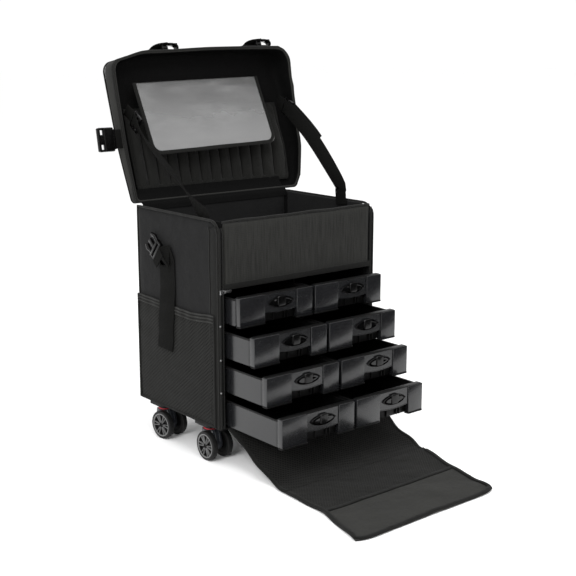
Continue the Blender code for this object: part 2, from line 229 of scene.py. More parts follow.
def clear_film(name):
    """Clear vinyl: a pale haze over what is behind it, with soft ripples in its gloss. Its grey colour is painted
    reflection, darker toward the top as painted shade, with streaks of painted glare.
    """
    look = Look(name, 0.16, coat=0.1, specular=0.3)
    where = look.coords(uv=False)
    haze = look.noise(where, 7, 2)
    # painted reflection: streaks of glare mixed lighter into the film's colour
    glare = look.span(look.noise(look.coords(uv=False, scale=(1, 1, 3.2)), 11, 3, 0.6), 0.46, 0.7)
    split = look.add("SeparateXYZ", {0: where})
    # painted shade: the film's grey darkens from its foot toward its head, under the lid's front wall
    painted_shade_fall = look.span(split.outputs[2], WINDOW_FOOT, WINDOW_HEAD)
    base = look.mix(painted_shade_fall, grey(0.255), grey(0.065))
    base = look.mix(look.times(glare, 0.35), base, grey(0.3))
    look.feed("Base Color", look.mix(look.span(haze, 0.3, 0.7, 0, 0.4), base, grey(0.11)))
    look.feed("Alpha", look.span(haze, 0.3, 0.75, 0.62, 0.78))
    look.feed("Normal", look.bump(look.noise(where, 5, 0), 0.0003, 0.1))
    return look.material


# heights over which the film's painted shade darkens it toward the top
WINDOW_FOOT, WINDOW_HEAD = 0.6, 0.725
OLIVE = (1, 1, 0.93)
BLUE = (0.95, 0.98, 1.08)
LOOKS = {
    "nylon": cloth("side_nylon", grey(0.008, (1, 1, 1.02)), plain_weave, 0.0009, 0.00012),
    "front": cloth("front_nylon", grey(0.0105, OLIVE), streaks, 0.0034, 0.0004, contrast=0.95, share=0.85),
    "lid": cloth("lid_nylon", grey(0.017, OLIVE), plain_weave, 0.0009, 0.00012),
    "lining": cloth("lining_cloth", grey(0.0085, OLIVE), plain_weave, 0.0007, 0.0001, sheen=0.05),
    "inner": cloth("inner_cloth", grey(0.0022), plain_weave, 0.0007, 0.0001, sheen=0),
    "mesh": cloth("net_cloth", grey(0.0078, OLIVE), net, 0.0046, 0.0009, contrast=0.95, crease=0.0004, share=0.9),
    "apron": cloth("apron_net", grey(0.0066, OLIVE), net, 0.0046, 0.0008, contrast=0.95, share=0.9),
    "apron_end": cloth("apron_cloth", grey(0.02, OLIVE), plain_weave, 0.001, 0.00012),
    "webbing": cloth("webbing_weave", grey(0.0038, OLIVE), ribbed, 0.0034, 0.0004, sheen=0),
    "binding": cloth("binding_tape", grey(0.006, OLIVE), ribbed, 0.0022, 0.0003, sheen=0.05),
    "ridge": cloth("ridge_cord", grey(0.017, OLIVE), ribbed, 0.0022, 0.0003, sheen=0.08),
    "piping": cloth("piping_cloth", grey(0.0075, OLIVE), plain_weave, 0.0009, 0.0001, sheen=0.08),
    "board": cloth("board_cloth", grey(0.004), plain_weave, 0.001, 0.0001, sheen=0),
    "drawer": moulded("drawer_plastic", grey(0.0075, BLUE), 0.23, coat=0.1, grain=500, grain_depth=0.00001,
                      wear=0.12, specular=0.48),
    # painted shade: a darker plastic for the trays' insides, the drawer fronts' recesses and the cabinet walls, where
    # shade falls
    "tray_inside": moulded("tray_plastic_painted_shade", grey(0.003), 0.42, grain=1200, specular=0.15),
    "gloss": moulded("bezel_gloss", grey(0.0015), 0.05, coat=0.2, grain=80, grain_depth=0.00002,
                     wear=0.05, specular=0.22),
    "buckle": moulded("buckle_plastic", grey(0.0018), 0.18, specular=0.22),
    "fork": moulded("fork_plastic", grey(0.018, (0.86, 0.97, 1.2)), 0.36, coat=0.1),
    "rubber": moulded("tyre_rubber", grey(0.004), 0.62, grain=1500, grain_depth=0.00008, specular=0.25),
    "rim": moulded("rim_plastic", grey(0.12), 0.34, specular=0.3),
    "hub": moulded("hub_plastic", grey(0.002), 0.5, specular=0.08),
    "red": moulded("ring_red", (0.42, 0.028, 0.04, 1), 0.38),
    "chrome": metal("zip_chrome", grey(0.28), 0.3),
    "tube": metal("tube_alloy", grey(0.52), 0.28),
    "film": clear_film("window_film"),
}


# ---- mesh building
def rounded(a0, a1, b0, b1, radius, steps=4):
    """Corner-rounded rectangle as (a, b) pairs, anticlockwise from its low corner."""
    centres = ((a0 + radius, b0 + radius, 180), (a1 - radius, b0 + radius, 270),
               (a1 - radius, b1 - radius, 0), (a0 + radius, b1 - radius, 90))
    points = []
    for a, b, start in centres:
        for i in range(steps + 1):
            t = radians(start + 90 * i / steps)
            points.append((a + radius * cos(t), b + radius * sin(t)))
    return points


def dense(points, step, closed=True):
    """The same outline with a point at least every `step`."""
    made = []
    for p, q in zip(points, points[1:] + (points[:1] if closed else [])):
        p, q = Vector(p), Vector(q)
        count = max(1, ceil((q - p).length / step))
        made += [p.lerp(q, i / count) for i in range(count)]
    if not closed:
        made.append(Vector(points[-1]))
    return made


def smooth_line(points, step):
    """Catmull-Rom curve through the points, with a point about every `step`."""
    points = [Vector(p) for p in points]
    ends = [2 * points[0] - points[1]] + points + [2 * points[-1] - points[-2]]
    made = []
    for a, b, c, d in zip(ends, ends[1:], ends[2:], ends[3:]):
        count = max(1, ceil((c - b).length / step))
        for i in range(count):
            t = i / count
            made.append(0.5 * (2 * b + (c - a) * t + (2 * a - 5 * b + 4 * c - d) * t * t
                               + (3 * b - a - 3 * c + d) * t ** 3))
    made.append(points[-1])
    return made


def skin(rings, loop=False, slots=None):
    """A mesh through rings of equally many points, capped unless it loops; `slots` numbers each band's material."""
    bm = bmesh.new()
    rows = [[bm.verts.new(p) for p in ring] for ring in rings]
    pairs = list(zip(rows, rows[1:])) + ([(rows[-1], rows[0])] if loop else [])
    for k, (low, high) in enumerate(pairs):
        for i in range(len(low)):
            j = (i + 1) % len(low)
            face = bm.faces.new((low[i], low[j], high[j], high[i]))
            if slots:
                face.material_index = slots[k]
    if not loop:
        for row, band in ((rows[0][::-1], 0), (rows[-1], -1)):
            face = bm.faces.new(row)
            if slots:
                face.material_index = slots[band]
    return closed(bm)


def closed(bm):
    bmesh.ops.remove_doubles(bm, verts=bm.verts, dist=1e-7)
    bmesh.ops.recalc_face_normals(bm, faces=bm.faces)
    return bm


def join(*parts):
    """One bmesh from several; each part is (bmesh, material index) or a bmesh that has its own."""
    whole = bmesh.new()
    for part in parts:
        bm, index = part if isinstance(part, tuple) else (part, None)
        if index is not None:
            for face in bm.faces:
                face.material_index = index
        mesh = bpy.data.meshes.new("part")
        bm.to_mesh(mesh)
        bm.free()
        whole.from_mesh(mesh)
        bpy.data.meshes.remove(mesh)
    return whole


def placed(origin, x, y, z):
    """The frame with this origin and these axes."""
    return Matrix.Translation(origin) @ Matrix((x, y, z)).transposed().to_4x4()


def moved(bm, matrix):
    bmesh.ops.transform(bm, matrix=matrix, verts=bm.verts)
    if matrix.determinant() < 0:
        bmesh.ops.reverse_faces(bm, faces=bm.faces)
    return bm


def brick(low, high, bevel=0.001, segments=2):
    """A box with rounded edges."""
    bm = bmesh.new()
    bmesh.ops.create_cube(bm, size=1)
    low, high = Vector(low), Vector(high)
    size = high - low
    bmesh.ops.transform(bm, matrix=Matrix.Translation((low + high) / 2) @ Matrix.Diagonal((*size, 1)), verts=bm.verts)
    bevel = min(bevel, min(size) * 0.45)
    bmesh.ops.bevel(bm, geom=bm.edges[:], offset=bevel, segments=segments, affect="EDGES", profile=0.5)
    return closed(bm)


def puck(outline, across, levels, insets=None):
    """An outline of (a, b) pairs drawn through levels on the axis `across`, shrunk at each by an inset."""
    insets = insets or [0] * len(levels)
    others = [i for i in range(3) if i != across]
    count = len(outline)
    middle = (sum(p[0] for p in outline) / count, sum(p[1] for p in outline) / count)
    rings = []
    for level, inset in zip(levels, insets):
        ring = []
        for a, b in outline:
            run = hypot(a - middle[0], b - middle[1]) or 1
            keep = 1 - inset / run
            point = [0, 0, 0]
            point[others[0]] = middle[0] + (a - middle[0]) * keep
            point[others[1]] = middle[1] + (b - middle[1]) * keep
            point[across] = level
            ring.append(point)
        rings.append(ring)
    return skin(rings)


def turned(profile, count=32):
    """A body turned about x from (x, radius) pairs."""
    return skin([[(x, radius * cos(t), radius * sin(t)) for t in angles(count)] for x, radius in profile])


def tape(width, thick, steps=2):
    """Section of a flat strap: a along its width, b through its thickness."""
    return rounded(-width / 2, width / 2, -thick / 2, thick / 2, min(thick, width) * 0.45, steps)


def sweep(path, section, face, loop=False):
    """A section of (a, b) pairs along a path; b points along `face`, a vector or a vector for each point."""
    path = [Vector(p) for p in path]
    count = len(path)
    faces = [Vector(f) for f in face] if isinstance(face, list) else [Vector(face)] * count
    rings = []
    for i in range(count):
        ahead = path[(i + 1) % count] if loop or i < count - 1 else path[i]
        behind = path[i - 1] if loop or i > 0 else path[i]
        along = (ahead - behind).normalized()
        normal = (faces[i] - along * faces[i].dot(along)).normalized()
        side = along.cross(normal)
        rings.append([path[i] + side * a + normal * b for a, b in section])
    return skin(rings, loop=loop)


def sheet(rows, thick):
    """A thin closed sheet on a grid of points: the grid is its outer face, and its back lies `thick` behind."""
    count, width = len(rows), len(rows[0])
    grid = [[Vector(p) for p in row] for row in rows]

    def behind(i, j):
        du = grid[i][min(j + 1, width - 1)] - grid[i][max(j - 1, 0)]
        dv = grid[min(i + 1, count - 1)][j] - grid[max(i - 1, 0)][j]
        return grid[i][j] - du.cross(dv).normalized() * thick

    return skin([grid[i] + [behind(i, j) for j in reversed(range(width))] for i in range(count)])


def box_uv(mesh):
    """UVs in metres, from the two axes that a face lies along."""
    layer = mesh.uv_layers.new(name="metres")
    for face in mesh.polygons:
        normal = [abs(n) for n in face.normal]
        across = normal.index(max(normal))
        a, b = [i for i in range(3) if i != across]
        for index in face.loop_indices:
            co = mesh.vertices[mesh.loops[index].vertex_index].co
            layer.data[index].uv = (co[a], co[b])


def linked(name, data):
    """A new object in the scene."""
    obj = bpy.data.objects.new(name, data)
    bpy.context.scene.collection.objects.link(obj)
    return obj


def from_bmesh(name, bm):
    mesh = bpy.data.meshes.new(name)
    bm.to_mesh(mesh)
    bm.free()
    return linked(name, mesh)


def piece(name, bm, looks, slot, body=None, where=CASE, stands_for=(), crisp=35, round_off=False):
    """Makes a named piece from a bmesh whose points are in the frame `where`."""
    obj = from_bmesh(name, bm)
    if round_off:
        subdivided(obj)
    dress(obj, looks, where, crisp)
    if stands_for:
        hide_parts(*stands_for)
    if body:
        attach(obj, body)
    return obj


on_case = partial(piece, body="case")
on_lid = partial(piece, body="lid", where=LID)


def dress(obj, looks, where, crisp):
    """Gives a mesh its UVs, place, materials and shading."""
    mesh = obj.data
    box_uv(mesh)
    mesh.transform(where)
    if mesh.materials:
        mesh.materials.clear()
    for look in (looks,) if isinstance(looks, str) else looks:
        mesh.materials.append(LOOKS[look])
    mesh.shade_smooth()
    mesh.set_sharp_from_angle(angle=radians(crisp))


def subdivided(obj):
    modifier = obj.modifiers.new("round", "SUBSURF")
    modifier.levels = modifier.render_levels = 1
    settle(obj)


def settle(obj):
    """Applies every modifier."""
    graph = bpy.context.evaluated_depsgraph_get()
    mesh = bpy.data.meshes.new_from_object(obj.evaluated_get(graph))
    obj.modifiers.clear()
    obj.data = mesh


def ripple(point, scale, amount, seed=0):
    return amount * noise.noise(Vector(point) * scale + Vector((seed, 2 * seed, -seed)))


def clamp(value):
    return min(1, max(0, value))


def ease(t):
    """A smooth step from 0 to 1."""
    return t * t * (3 - 2 * t)


def steps(low, high, count):
    return [low + (high - low) * i / count for i in range(count + 1)]


def circle(radius, count=8):
    return [(radius * cos(t), radius * sin(t)) for t in angles(count)]


def angles(count):
    """Angles of so many equal steps round a circle."""
    return [2 * pi * i / count for i in range(count)]


# ---- camera, floor and light
LENS_MM, CAMERA_TILT, CAMERA_TURN = 69.6, 12.35, 39.583
CAMERA_PLACE = Vector((-1.3715, -1.7612, 0.7159))
FLOOR_HALF = 30
LIGHTS = (  # name, place, size in m, power in W
    ("key", (-2.6, -1.2, 2.2), 1.4, 70),
    ("fill", (1.6, -3, 1.8), 1.6, 25),
    ("top", (0, -0.6, 3), 2.4, 45),
)
AIM = Vector((0, 0, 0.35))
FLAG_LEFT, FLAG_RIGHT, FLAG_Y, FLAG_TOP = -0.2, 2.2, -0.74, 1.3


def studio():
    scene = bpy.context.scene
    camera = linked("camera", bpy.data.cameras.new("camera"))
    camera.data.lens = LENS_MM
    camera.data.sensor_width = 36
    camera.data.clip_end = 50
    camera.location = CASE @ CAMERA_PLACE
    camera.rotation_euler = (radians(90 - CAMERA_TILT), 0, -radians(CAMERA_TURN))
    scene.camera = camera

    look = Look("studio_floor", 0.8, specular=0.1)
    where = look.coords(uv=False)
    look.feed("Base Color", look.mix(look.noise(where, 3), grey(0.955), grey(0.975)))
    look.feed("Normal", look.bump(look.noise(where, 300), 0.0001, 0.1))
    bm = bmesh.new()
    bmesh.ops.create_grid(bm, x_segments=8, y_segments=8, size=FLOOR_HALF)
    floor = from_bmesh("studio_floor", bm)
    floor.data.materials.append(look.material)

    world = bpy.data.worlds.new("studio")
    scene.world = world
    world.use_nodes = True
    background = world.node_tree.nodes["Background"].inputs
    background["Color"].default_value = (1, 1, 1, 1)
    background["Strength"].default_value = 1.04
    for name, place, size, power in LIGHTS:
        data = bpy.data.lights.new(name, "AREA")
        data.size = size
        data.energy = power
        lamp = linked(name, data)
        lamp.location = place
        lamp.rotation_euler = (AIM - Vector(place)).to_track_quat("-Z", "Y").to_euler()

    # a dark card that only reflections see: the upper drawers mirror it, the lower ones mirror the floor
    low, high = CASE @ Vector((FLAG_LEFT, FLAG_Y, 0)), CASE @ Vector((FLAG_RIGHT, FLAG_Y, FLAG_TOP))
    foot = 0.02
    corners = [(low.x, low.y, foot), (high.x, high.y, foot), (high.x, high.y, high.z), (low.x, low.y, high.z)]
    mesh = bpy.data.meshes.new("studio_flag")
    mesh.from_pydata(corners, [], [(0, 1, 2, 3)])
    mesh.materials.append(LOOKS["board"])
    flag = linked("studio_flag", mesh)
    flag.visible_camera = flag.visible_shadow = flag.visible_diffuse = False
    scene.view_settings.view_transform = "Standard"
    scene.view_settings.look = "None"


studio()


# ---- padded body
PRESSURE, SWELL_FRAMES = 4, 20


def inflate(obj):
    """Swells a closed mesh with a short cloth run and applies the result."""
    run = obj.modifiers.new("cloth", "CLOTH")
    run.settings.quality = 5
    run.settings.use_pressure = True
    run.settings.uniform_pressure_force = PRESSURE
    run.settings.effector_weights.gravity = 0
    run.point_cache.frame_start = 1
    run.point_cache.frame_end = SWELL_FRAMES
    for step in range(SWELL_FRAMES):
        bpy.context.scene.frame_set(step + 1)
    settle(obj)
    bpy.context.scene.frame_set(1)


def padded_copy(name, node, look, low, high, cap, crease, voxel=0.006):
    """A swollen copy of a CAD node, which moves at most `cap` and stays inside the box from low to high."""
    obj = linked(name, NODES[node].data.copy())
    obj.data.transform(CASE.inverted())
    remesh = obj.modifiers.new("remesh", "REMESH")
    remesh.mode = "VOXEL"
    remesh.voxel_size = voxel
    settle(obj)
    start = [v.co.copy() for v in obj.data.vertices]
    inflate(obj)
    for vertex, begun in zip(obj.data.vertices, start):
        shift = vertex.co - begun
        if shift.length > cap:
            shift *= cap / shift.length
        place = begun + shift
        place += Vector(ripple(begun, 16, crease, seed) for seed in (1, 4, 9))
        vertex.co = [min(max(p, a), b) for p, a, b in zip(place, low, high)]
    subdivided(obj)
    dress(obj, look, CASE, 60)
    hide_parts(node)
    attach(obj, "case")
    return obj


WALL = 0.008
FRONT_Y = -HALF_D
SKIN_X = HALF_W + 0.0022  # the side fabric's outer face at its fullest
CORNER_RADIUS = 0.026  # of the side walls' top front corners
PANEL_FOOT = 0.2715  # lower edge of the fixed front panel


def side_outline(inset):
    """The side wall's edge in y and z."""
    half, top, radius = HALF_D - inset, TOP - inset, CORNER_RADIUS
    centre = (-half + radius, top - radius)
    points = [(-half, inset), (half, inset), (half, top)]
    for i in range(9):
        t = radians(90 + 90 * i / 8)
        points.append((centre[0] + radius * cos(t), centre[1] + radius * sin(t)))
    return dense(points, 0.012)


def body():
    """The padded walls, with piping on their edges and tape in their corners."""
    for label, side in SIDES:
        outer, inner = side * SKIN_X, side * (HALF_W - WALL)
        low = (min(outer, inner), -HALF_D, 0)
        high = (max(outer, inner), HALF_D, TOP + 0.001)
        padded_copy("side_pad_" + label, "side_panel_" + label, "nylon", low, high, 0.0035, 0.0009)
        path = [(side * (HALF_W - 0.0014), y, z) for y, z in side_outline(0.0022)]
        on_case("side_piping_" + label, sweep(path, circle(0.0026), (side, 0, 0), loop=True), "piping", "nylon")
        for end, way, foot, head in (("back", 1, 0.006, TOP - 0.006), ("front", -1, 0.276, TOP - 0.003)):
            corner = [(side * (HALF_W - WALL - 0.0008), way * (HALF_D - 0.0095), z) for z in steps(foot, head, 40)]
            strip = sweep(corner, tape(0.013, 0.007), (side, way, 0))
            on_case(end + "_corner_tape_" + label, strip, "inner", "nylon")
        front_edge(label, side)
    low, high = (-HALF_W + WALL, -HALF_D - 0.002, PANEL_FOOT), (HALF_W - WALL, -HALF_D + 0.0085, TOP)
    padded_copy("front_pad", "front_panel", "front", low, high, 0.0018, 0.0007, voxel=0.004)
    low, high = (-HALF_W + WALL, HALF_D - 0.0125, 0.004), (HALF_W - WALL, HALF_D + 0.0015, TOP)
    padded_copy("back_pad", "back_panel", "nylon", low, high, 0.0015, 0.0004)
    width = HALF_W - WALL - 0.001
    hem = [(x, FRONT_Y - 0.0016 + ripple((x, 0, 0), 30, 0.0005), PANEL_FOOT + 0.006)
           for x in steps(-width, width, 30)]
    on_case("front_hem", sweep(hem, tape(0.011, 0.0022), (0, -1, 0)), "binding", "nylon")
    for name, y, z in (("front_top_piping", FRONT_Y + 0.003, TOP - 0.0035),
                       ("back_top_piping", HALF_D - 0.003, TOP - 0.0045)):
        line = [(x, y, z + ripple((x, 1, 0), 18, 0.0012)) for x in steps(-width, width, 40)]
        on_case(name, sweep(line, circle(0.0024), (0, 0, 1)), "piping", "nylon")


EDGE_FOOT, EDGE_HEAD = 0.004, 0.388
CORD_INNER_X, COIL_X, CORD_OUTER_X = 0.1872, 0.1902, 0.1932
TEETH, TOOTH_PITCH = 124, 0.003
RIVETS_Z = (0.205, 0.1395, 0.0756)


def front_edge(label, side):
    """What the let-down front zips to: a tape on the side, piping, a coil of teeth and three rivets."""
    out = SKIN_X + 0.0008
    rise = steps(EDGE_FOOT, EDGE_HEAD, 48)
    tape_line, inner_roll, outer_roll = [], [], []
    for z in rise:
        wave = ripple((0, side, z), 11, 0.0035) + ripple((0, side, z), 34, 0.0012)
        lean = max(0, (z - 0.376) / 0.026) ** 2 * 0.02
        tape_line.append((side * (out - 0.0004), FRONT_Y + 0.0125 + wave / 2 + lean, z))
        inner_roll.append((side * (out + 0.0002), FRONT_Y + 0.0245 + wave + lean, z))
        outer_roll.append((side * (out - 0.0012), FRONT_Y + 0.0022 + lean, z))
    flat = sweep(tape_line, tape(0.022, 0.0012), (side, 0, 0))
    on_case("zip_tape_" + label, flat, "binding", "nylon")
    for name, line, radius in (("zip_cover_roll_", inner_roll, 0.0017), ("zip_edge_roll_", outer_roll, 0.0021)):
        on_case(name + label, sweep(line, circle(radius), (side, 0, 0)), "piping", "nylon")
    for name, x in (("corner_piping_inner_", CORD_INNER_X), ("corner_piping_outer_", CORD_OUTER_X)):
        line = [(side * x, FRONT_Y - 0.0008 + lift_back(z), z) for z in rise]
        on_case(name + label, sweep(line, circle(0.0019), (0, -1, 0)), "piping", "nylon")
    teeth = []
    for i in range(TEETH):
        z = 0.01 + TOOTH_PITCH * i
        y = FRONT_Y - 0.001 + lift_back(z)
        x = side * COIL_X
        teeth.append(brick((x - 0.0014, y - 0.0014, z), (x + 0.0014, y + 0.0006, z + 0.0016), 0.0004, 1))
    on_case("zip_teeth_" + label, join(*teeth), "hub", "nylon")
    rivets = [moved(turned([(0, 0.0024), (-0.0012, 0.0021), (-0.0019, 0.0012), (-0.0021, 0.0003)], 14),
                    Matrix.Translation((side * CORD_OUTER_X, FRONT_Y - 0.001, z)) @ Matrix.Rotation(pi / 2, 4, "Z"))
              for z in RIVETS_Z]
    on_case("rivets_" + label, join(*rivets), "chrome", "nylon")


def lift_back(z):
    """How far the front edge has rounded back at this height."""
    above = max(0, z - (TOP - CORNER_RADIUS)) / CORNER_RADIUS
    return CORNER_RADIUS * (1 - sqrt(max(0, 1 - above ** 2)))


def zip_slider():
    y = FRONT_Y - 0.0045
    slider = brick((-0.195, y, 0.2645), (-0.187, y + 0.0035, 0.2735), 0.0012)
    ring = sweep([(-0.1865 + 0.0032 * cos(t), y + 0.0006, 0.2695 + 0.0024 * sin(t))
                  for t in angles(16)], circle(0.0008, 6), (0, -1, 0), loop=True)
    pull = puck(rounded(-0.1855, -0.169, 0.2668, 0.2722, 0.0024), 1,
                (y - 0.0006, y - 0.0002, y + 0.0008, y + 0.0012), (0.0006, 0, 0, 0.0006))
    on_case("zip_slider", join(slider, ring, pull), "chrome", "nylon")


# ---- side pockets, straps and buckles
POCKET_FRONT, POCKET_BACK, POCKET_FOOT = FRONT_Y + 0.013, HALF_D - 0.0045, 0.0045
POCKET_TOP = ((0.134, 0.2212), (0.08, 0.22), (0.012, 0.2165), (-0.05, 0.215), (-0.126, 0.2212))


def pocket_top(y):
    """Height of the sagging pocket mouth at this depth."""
    for (ya, za), (yb, zb) in zip(POCKET_TOP, POCKET_TOP[1:]):
        if y >= yb:
            return za + (zb - za) * ease(clamp((ya - y) / (ya - yb)))
    return POCKET_TOP[-1][1]


def pocket_x(y, share):
    """How far out the pocket stands: share runs from its bottom to its mouth."""
    across = (y - POCKET_FRONT) / (POCKET_BACK - POCKET_FRONT)
    swell = sin(pi * clamp(across)) ** 0.6 * sin(pi * min(1, share * 0.93 + 0.02)) ** 0.7
    gather = sin(y * 2 * pi / 0.031 + 1.3 * sin(y * 40)) * share ** 4
    return SKIN_X + 0.0014 + 0.004 * swell + 0.0006 * gather + ripple((y, share, 0), 9, 0.0012)


def pockets():
    for label, side in SIDES:
        rows = []
        for i in range(41):
            share = i / 40
            row = []
            for y in steps(POCKET_FRONT, POCKET_BACK, 48):
                z = POCKET_FOOT + (pocket_top(y) - 0.004 - POCKET_FOOT) * share
                row.append((side * pocket_x(y, share), y, z))
            rows.append(row if side > 0 else row[::-1])
        net_cloth = on_case("pocket_net_" + label, sheet(rows, 0.0009), "mesh", "mesh",
                            stands_for=("mesh_pocket_" + label,))
        ys = steps(POCKET_FRONT, POCKET_BACK, 60)
        mouth = [(side * (pocket_x(y, 1) + 0.001), y, pocket_top(y) - 0.0065) for y in ys]
        ridges = []
        for drop, thick in ((0.001, 0.0042), (0.0068, 0.0034), (-0.0056, 0.0034)):
            line = [(x, y, z + drop) for x, y, z in mouth]
            ridges.append(sweep(line, tape(0.0032, thick), (side, 0, 0)))
        on_case("pocket_ridges_" + label, join(*ridges), "ridge", "webbing")
        on_case("pocket_band_" + label, sweep(mouth, tape(0.015, 0.002), (side, 0, 0)), "binding", "webbing")
        edges = []
        for y in (POCKET_FRONT, POCKET_BACK):
            rise = steps(0.004, pocket_top(y), 24)
            edges.append(sweep([(side * (SKIN_X + 0.0022), y, z) for z in rise], tape(0.006, 0.003), (side, 0, 0)))
        run = [(side * (SKIN_X + 0.0018), y, 0.0055) for y in steps(POCKET_FRONT, POCKET_BACK, 24)]
        edges.append(sweep(run, tape(0.006, 0.0028), (side, 0, 0)))
        on_case("pocket_edging_" + label, join(*edges), "binding", "webbing")
        hanging_strap(label, side)


STRAP_FOOT, STRAP_HEAD, STRAP_Y, STRAP_LEAN = 0.128, 0.303, 0.0265, 0.015


def hanging_strap(label, side):
    """Wide webbing that folds over near its top, hangs over the pocket and ends in a three-prong buckle."""
    outer = []
    for z in steps(STRAP_FOOT, STRAP_HEAD, 40):
        y = STRAP_Y + 0.06 * max(0, 0.22 - z) + STRAP_LEAN * (z - 0.3)
        top = pocket_top(y)
        if z < top:
            x = pocket_x(y, min(1, z / top)) + 0.003
        else:
            up = clamp((z - top) / 0.03)
            x = (pocket_x(y, 1) + 0.0036) * (1 - up) + (SKIN_X + 0.0022) * up
        outer.append((side * x, y, z))
    fold = [(0.0042, 0.0265, 0.311), (0.0062, 0.0275, 0.316), (0.0092, 0.03, 0.3135), (0.0098, 0.034, 0.307)]
    outer += [(side * (SKIN_X + a), b, c) for a, b, c in fold]
    strap = sweep(smooth_line(outer, 0.006), tape(0.052, 0.0018), (side, 0, 0.02))
    tongue = [(side * (SKIN_X + 0.0105), 0.04, 0.302), (side * (SKIN_X + 0.0102), 0.05, 0.311),
              (side * (SKIN_X + 0.009), 0.058, 0.32)]
    flat = sweep(smooth_line(tongue, 0.006), tape(0.036, 0.0018), (side, 0, 0))
    on_case("hanging_strap_" + label, join(strap, flat), "webbing", "webbing",
            stands_for=("side_strap_" + label,))
    # the buckle lies on its side, pointing up and back
    bits = [brick(*row) for row in (
        ((-0.019, -0.002, -0.0035), (0.019, 0.0035, 0.0035), 0.0014),
        ((-0.021, 0.008, -0.004), (0.021, 0.0135, 0.004), 0.0014),
        ((-0.021, -0.002, -0.0035), (-0.0165, 0.0125, 0.0035), 0.0012),
        ((0.0165, -0.002, -0.0035), (0.021, 0.0125, 0.0035), 0.0012),
        ((-0.0042, 0.012, -0.0032), (0.0042, 0.0335, 0.0032), 0.0014))]
    for x in (-1, 1):
        prong = [(x * 0.015, 0.012, 0), (x * 0.0165, 0.02, 0), (x * 0.017, 0.026, 0), (x * 0.0135, 0.0335, 0)]
        bits.append(sweep(smooth_line(prong, 0.003), tape(0.0076, 0.007), (0, 0, 1)))
        tip = [(x * 0.018, 0.023, 0), (x * 0.0185, 0.028, 0), (x * 0.0145, 0.0355, 0)]
        bits.append(sweep(smooth_line(tip, 0.003), tape(0.006, 0.008), (0, 0, 1)))
    across = Vector((0, 0.62, -0.78)).normalized()
    ahead = Vector((0, 0.78, 0.62)).normalized()
    out = Vector((side, 0, 0))
    place = placed((side * (SKIN_X + 0.0078), 0.051, 0.32), across, ahead, out)
    on_case("side_prongs_" + label, moved(join(*bits), place), "buckle", "buckle",
            stands_for=("side_buckle_" + label,))


body()
zip_slider()
pockets()


# ---- drawers
FACE_W, FACE_T = 0.177, 0.014
GRIP_LEFT, GRIP_RIGHT = 0.061, 0.137  # the set-back part between a front's two blocks
TRAY_BACK, TRAY_HEIGHT = 0.2545, 0.053


def lens(half, rise, count=14):
    """Pointed oval: a along it, b across it."""
    def arc(sign, order):
        return [(half * t, sign * rise * (1 - t * t) ** 0.72) for t in order]
    ts = steps(-1, 1, count)
    return arc(-1, ts) + arc(1, ts[-2:0:-1])


def drawer_face():
    """A drawer front from its own bottom left corner: two flat blocks, and a set-back grip between them."""
    left, right = GRIP_LEFT, GRIP_RIGHT
    # slot 1 is the darker plastic that paints shade on the thin top rim, the ledges, and the recess under the grip
    # with its slits
    parts = [(brick((0.0004, 0, 0.0018), (left - 0.0004, 0.0135, 0.0562), 0.0014, 3), 0),
             (brick((right + 0.0004, 0, 0.0018), (FACE_W - 0.0004, 0.0135, 0.0562), 0.0014, 3), 0),
             (brick((0.003, 0.0016, 0.0545), (FACE_W - 0.003, 0.0135, 0.0572), 0.001), 1)]
    for x0, x1 in ((-0.0008, left + 0.0006), (right - 0.0006, FACE_W + 0.0008)):
        parts.append((puck(rounded(x0, x1, -0.0014, 0.013, 0.004, 3), 2,
                           (-0.0001, 0.0005, 0.0019, 0.0025), (0.0006, 0, 0, 0.0006)), 1))
    low_edge = [(left + 0.0002 + (right - left - 0.0004) * i / 14,
                 0.0212 - 0.003 * sin(pi * i / 14)) for i in range(15)]
    grip = low_edge + [(right - 0.0002, 0.056), (left + 0.0002, 0.056)]
    parts.append((puck(grip, 1, (0.01, 0.003, 0.0022), (0, 0, 0.0008)), 0))
    lip = sweep([(x, 0.0024, z + 0.0006) for x, z in low_edge], circle(0.001, 6), (0, -1, 0))
    parts.append((lip, 0))
    parts.append((brick((left + 0.0002, 0.0098, 0.002), (right - 0.0002, 0.0134, 0.023), 0.0006), 1))
    for x in (0.084, 0.1105, 0.118):
        parts.append((brick((x, 0.006, 0.003), (x + 0.0022, 0.0102, 0.02), 0.0005), 1))
    middle = Matrix.Translation(((left + right) / 2, 0, 0.0372))
    outline = lens(0.0313, 0.0105)
    bezel = puck(outline, 1, (0.004, 0.0006, -0.0008, -0.0008, 0.0012, 0.0000, -0.0012),
                 (0, 0, 0.0007, 0.0014, 0.003, 0.0055, 0.008))
    parts.append((moved(bezel, middle), 2))
    tab = puck(rounded(-0.0095, 0.0095, -0.0078, 0.012, 0.0035, 4), 1,
               (0.003, -0.0014, -0.0026, -0.0029), (0, 0, 0.0009, 0.0025))
    parts.append((moved(tab, middle), 3))
    return join(*parts)


def drawer_tray():
    """An open tray behind the front, with a rolled rim; its rim and inside are a darker plastic, painted shade."""
    x0, x1, y0, y1, height = 0.0018, FACE_W - 0.0018, FACE_T + 0.0005, TRAY_BACK, TRAY_HEIGHT
    levels = ((0.0022, 0, 0), (0, 0.0018, 0), (0, 0.049, 0), (-0.0009, 0.0497, 1), (-0.0009, 0.0524, 1),
              (-0.0002, height, 1), (0.002, height, 1), (0.0028, 0.0522, 1), (0.0028, 0.006, 1),
              (0.006, 0.0026, 1))
    rings, slots = [], []
    for inset, z, index in levels:
        outline = rounded(x0 + inset, x1 - inset, y0 + max(inset, 0), y1 - inset, 0.0062, 4)
        rings.append([(x, y, z) for x, y in outline])
        slots.append(index)
    return skin(rings, slots=slots)


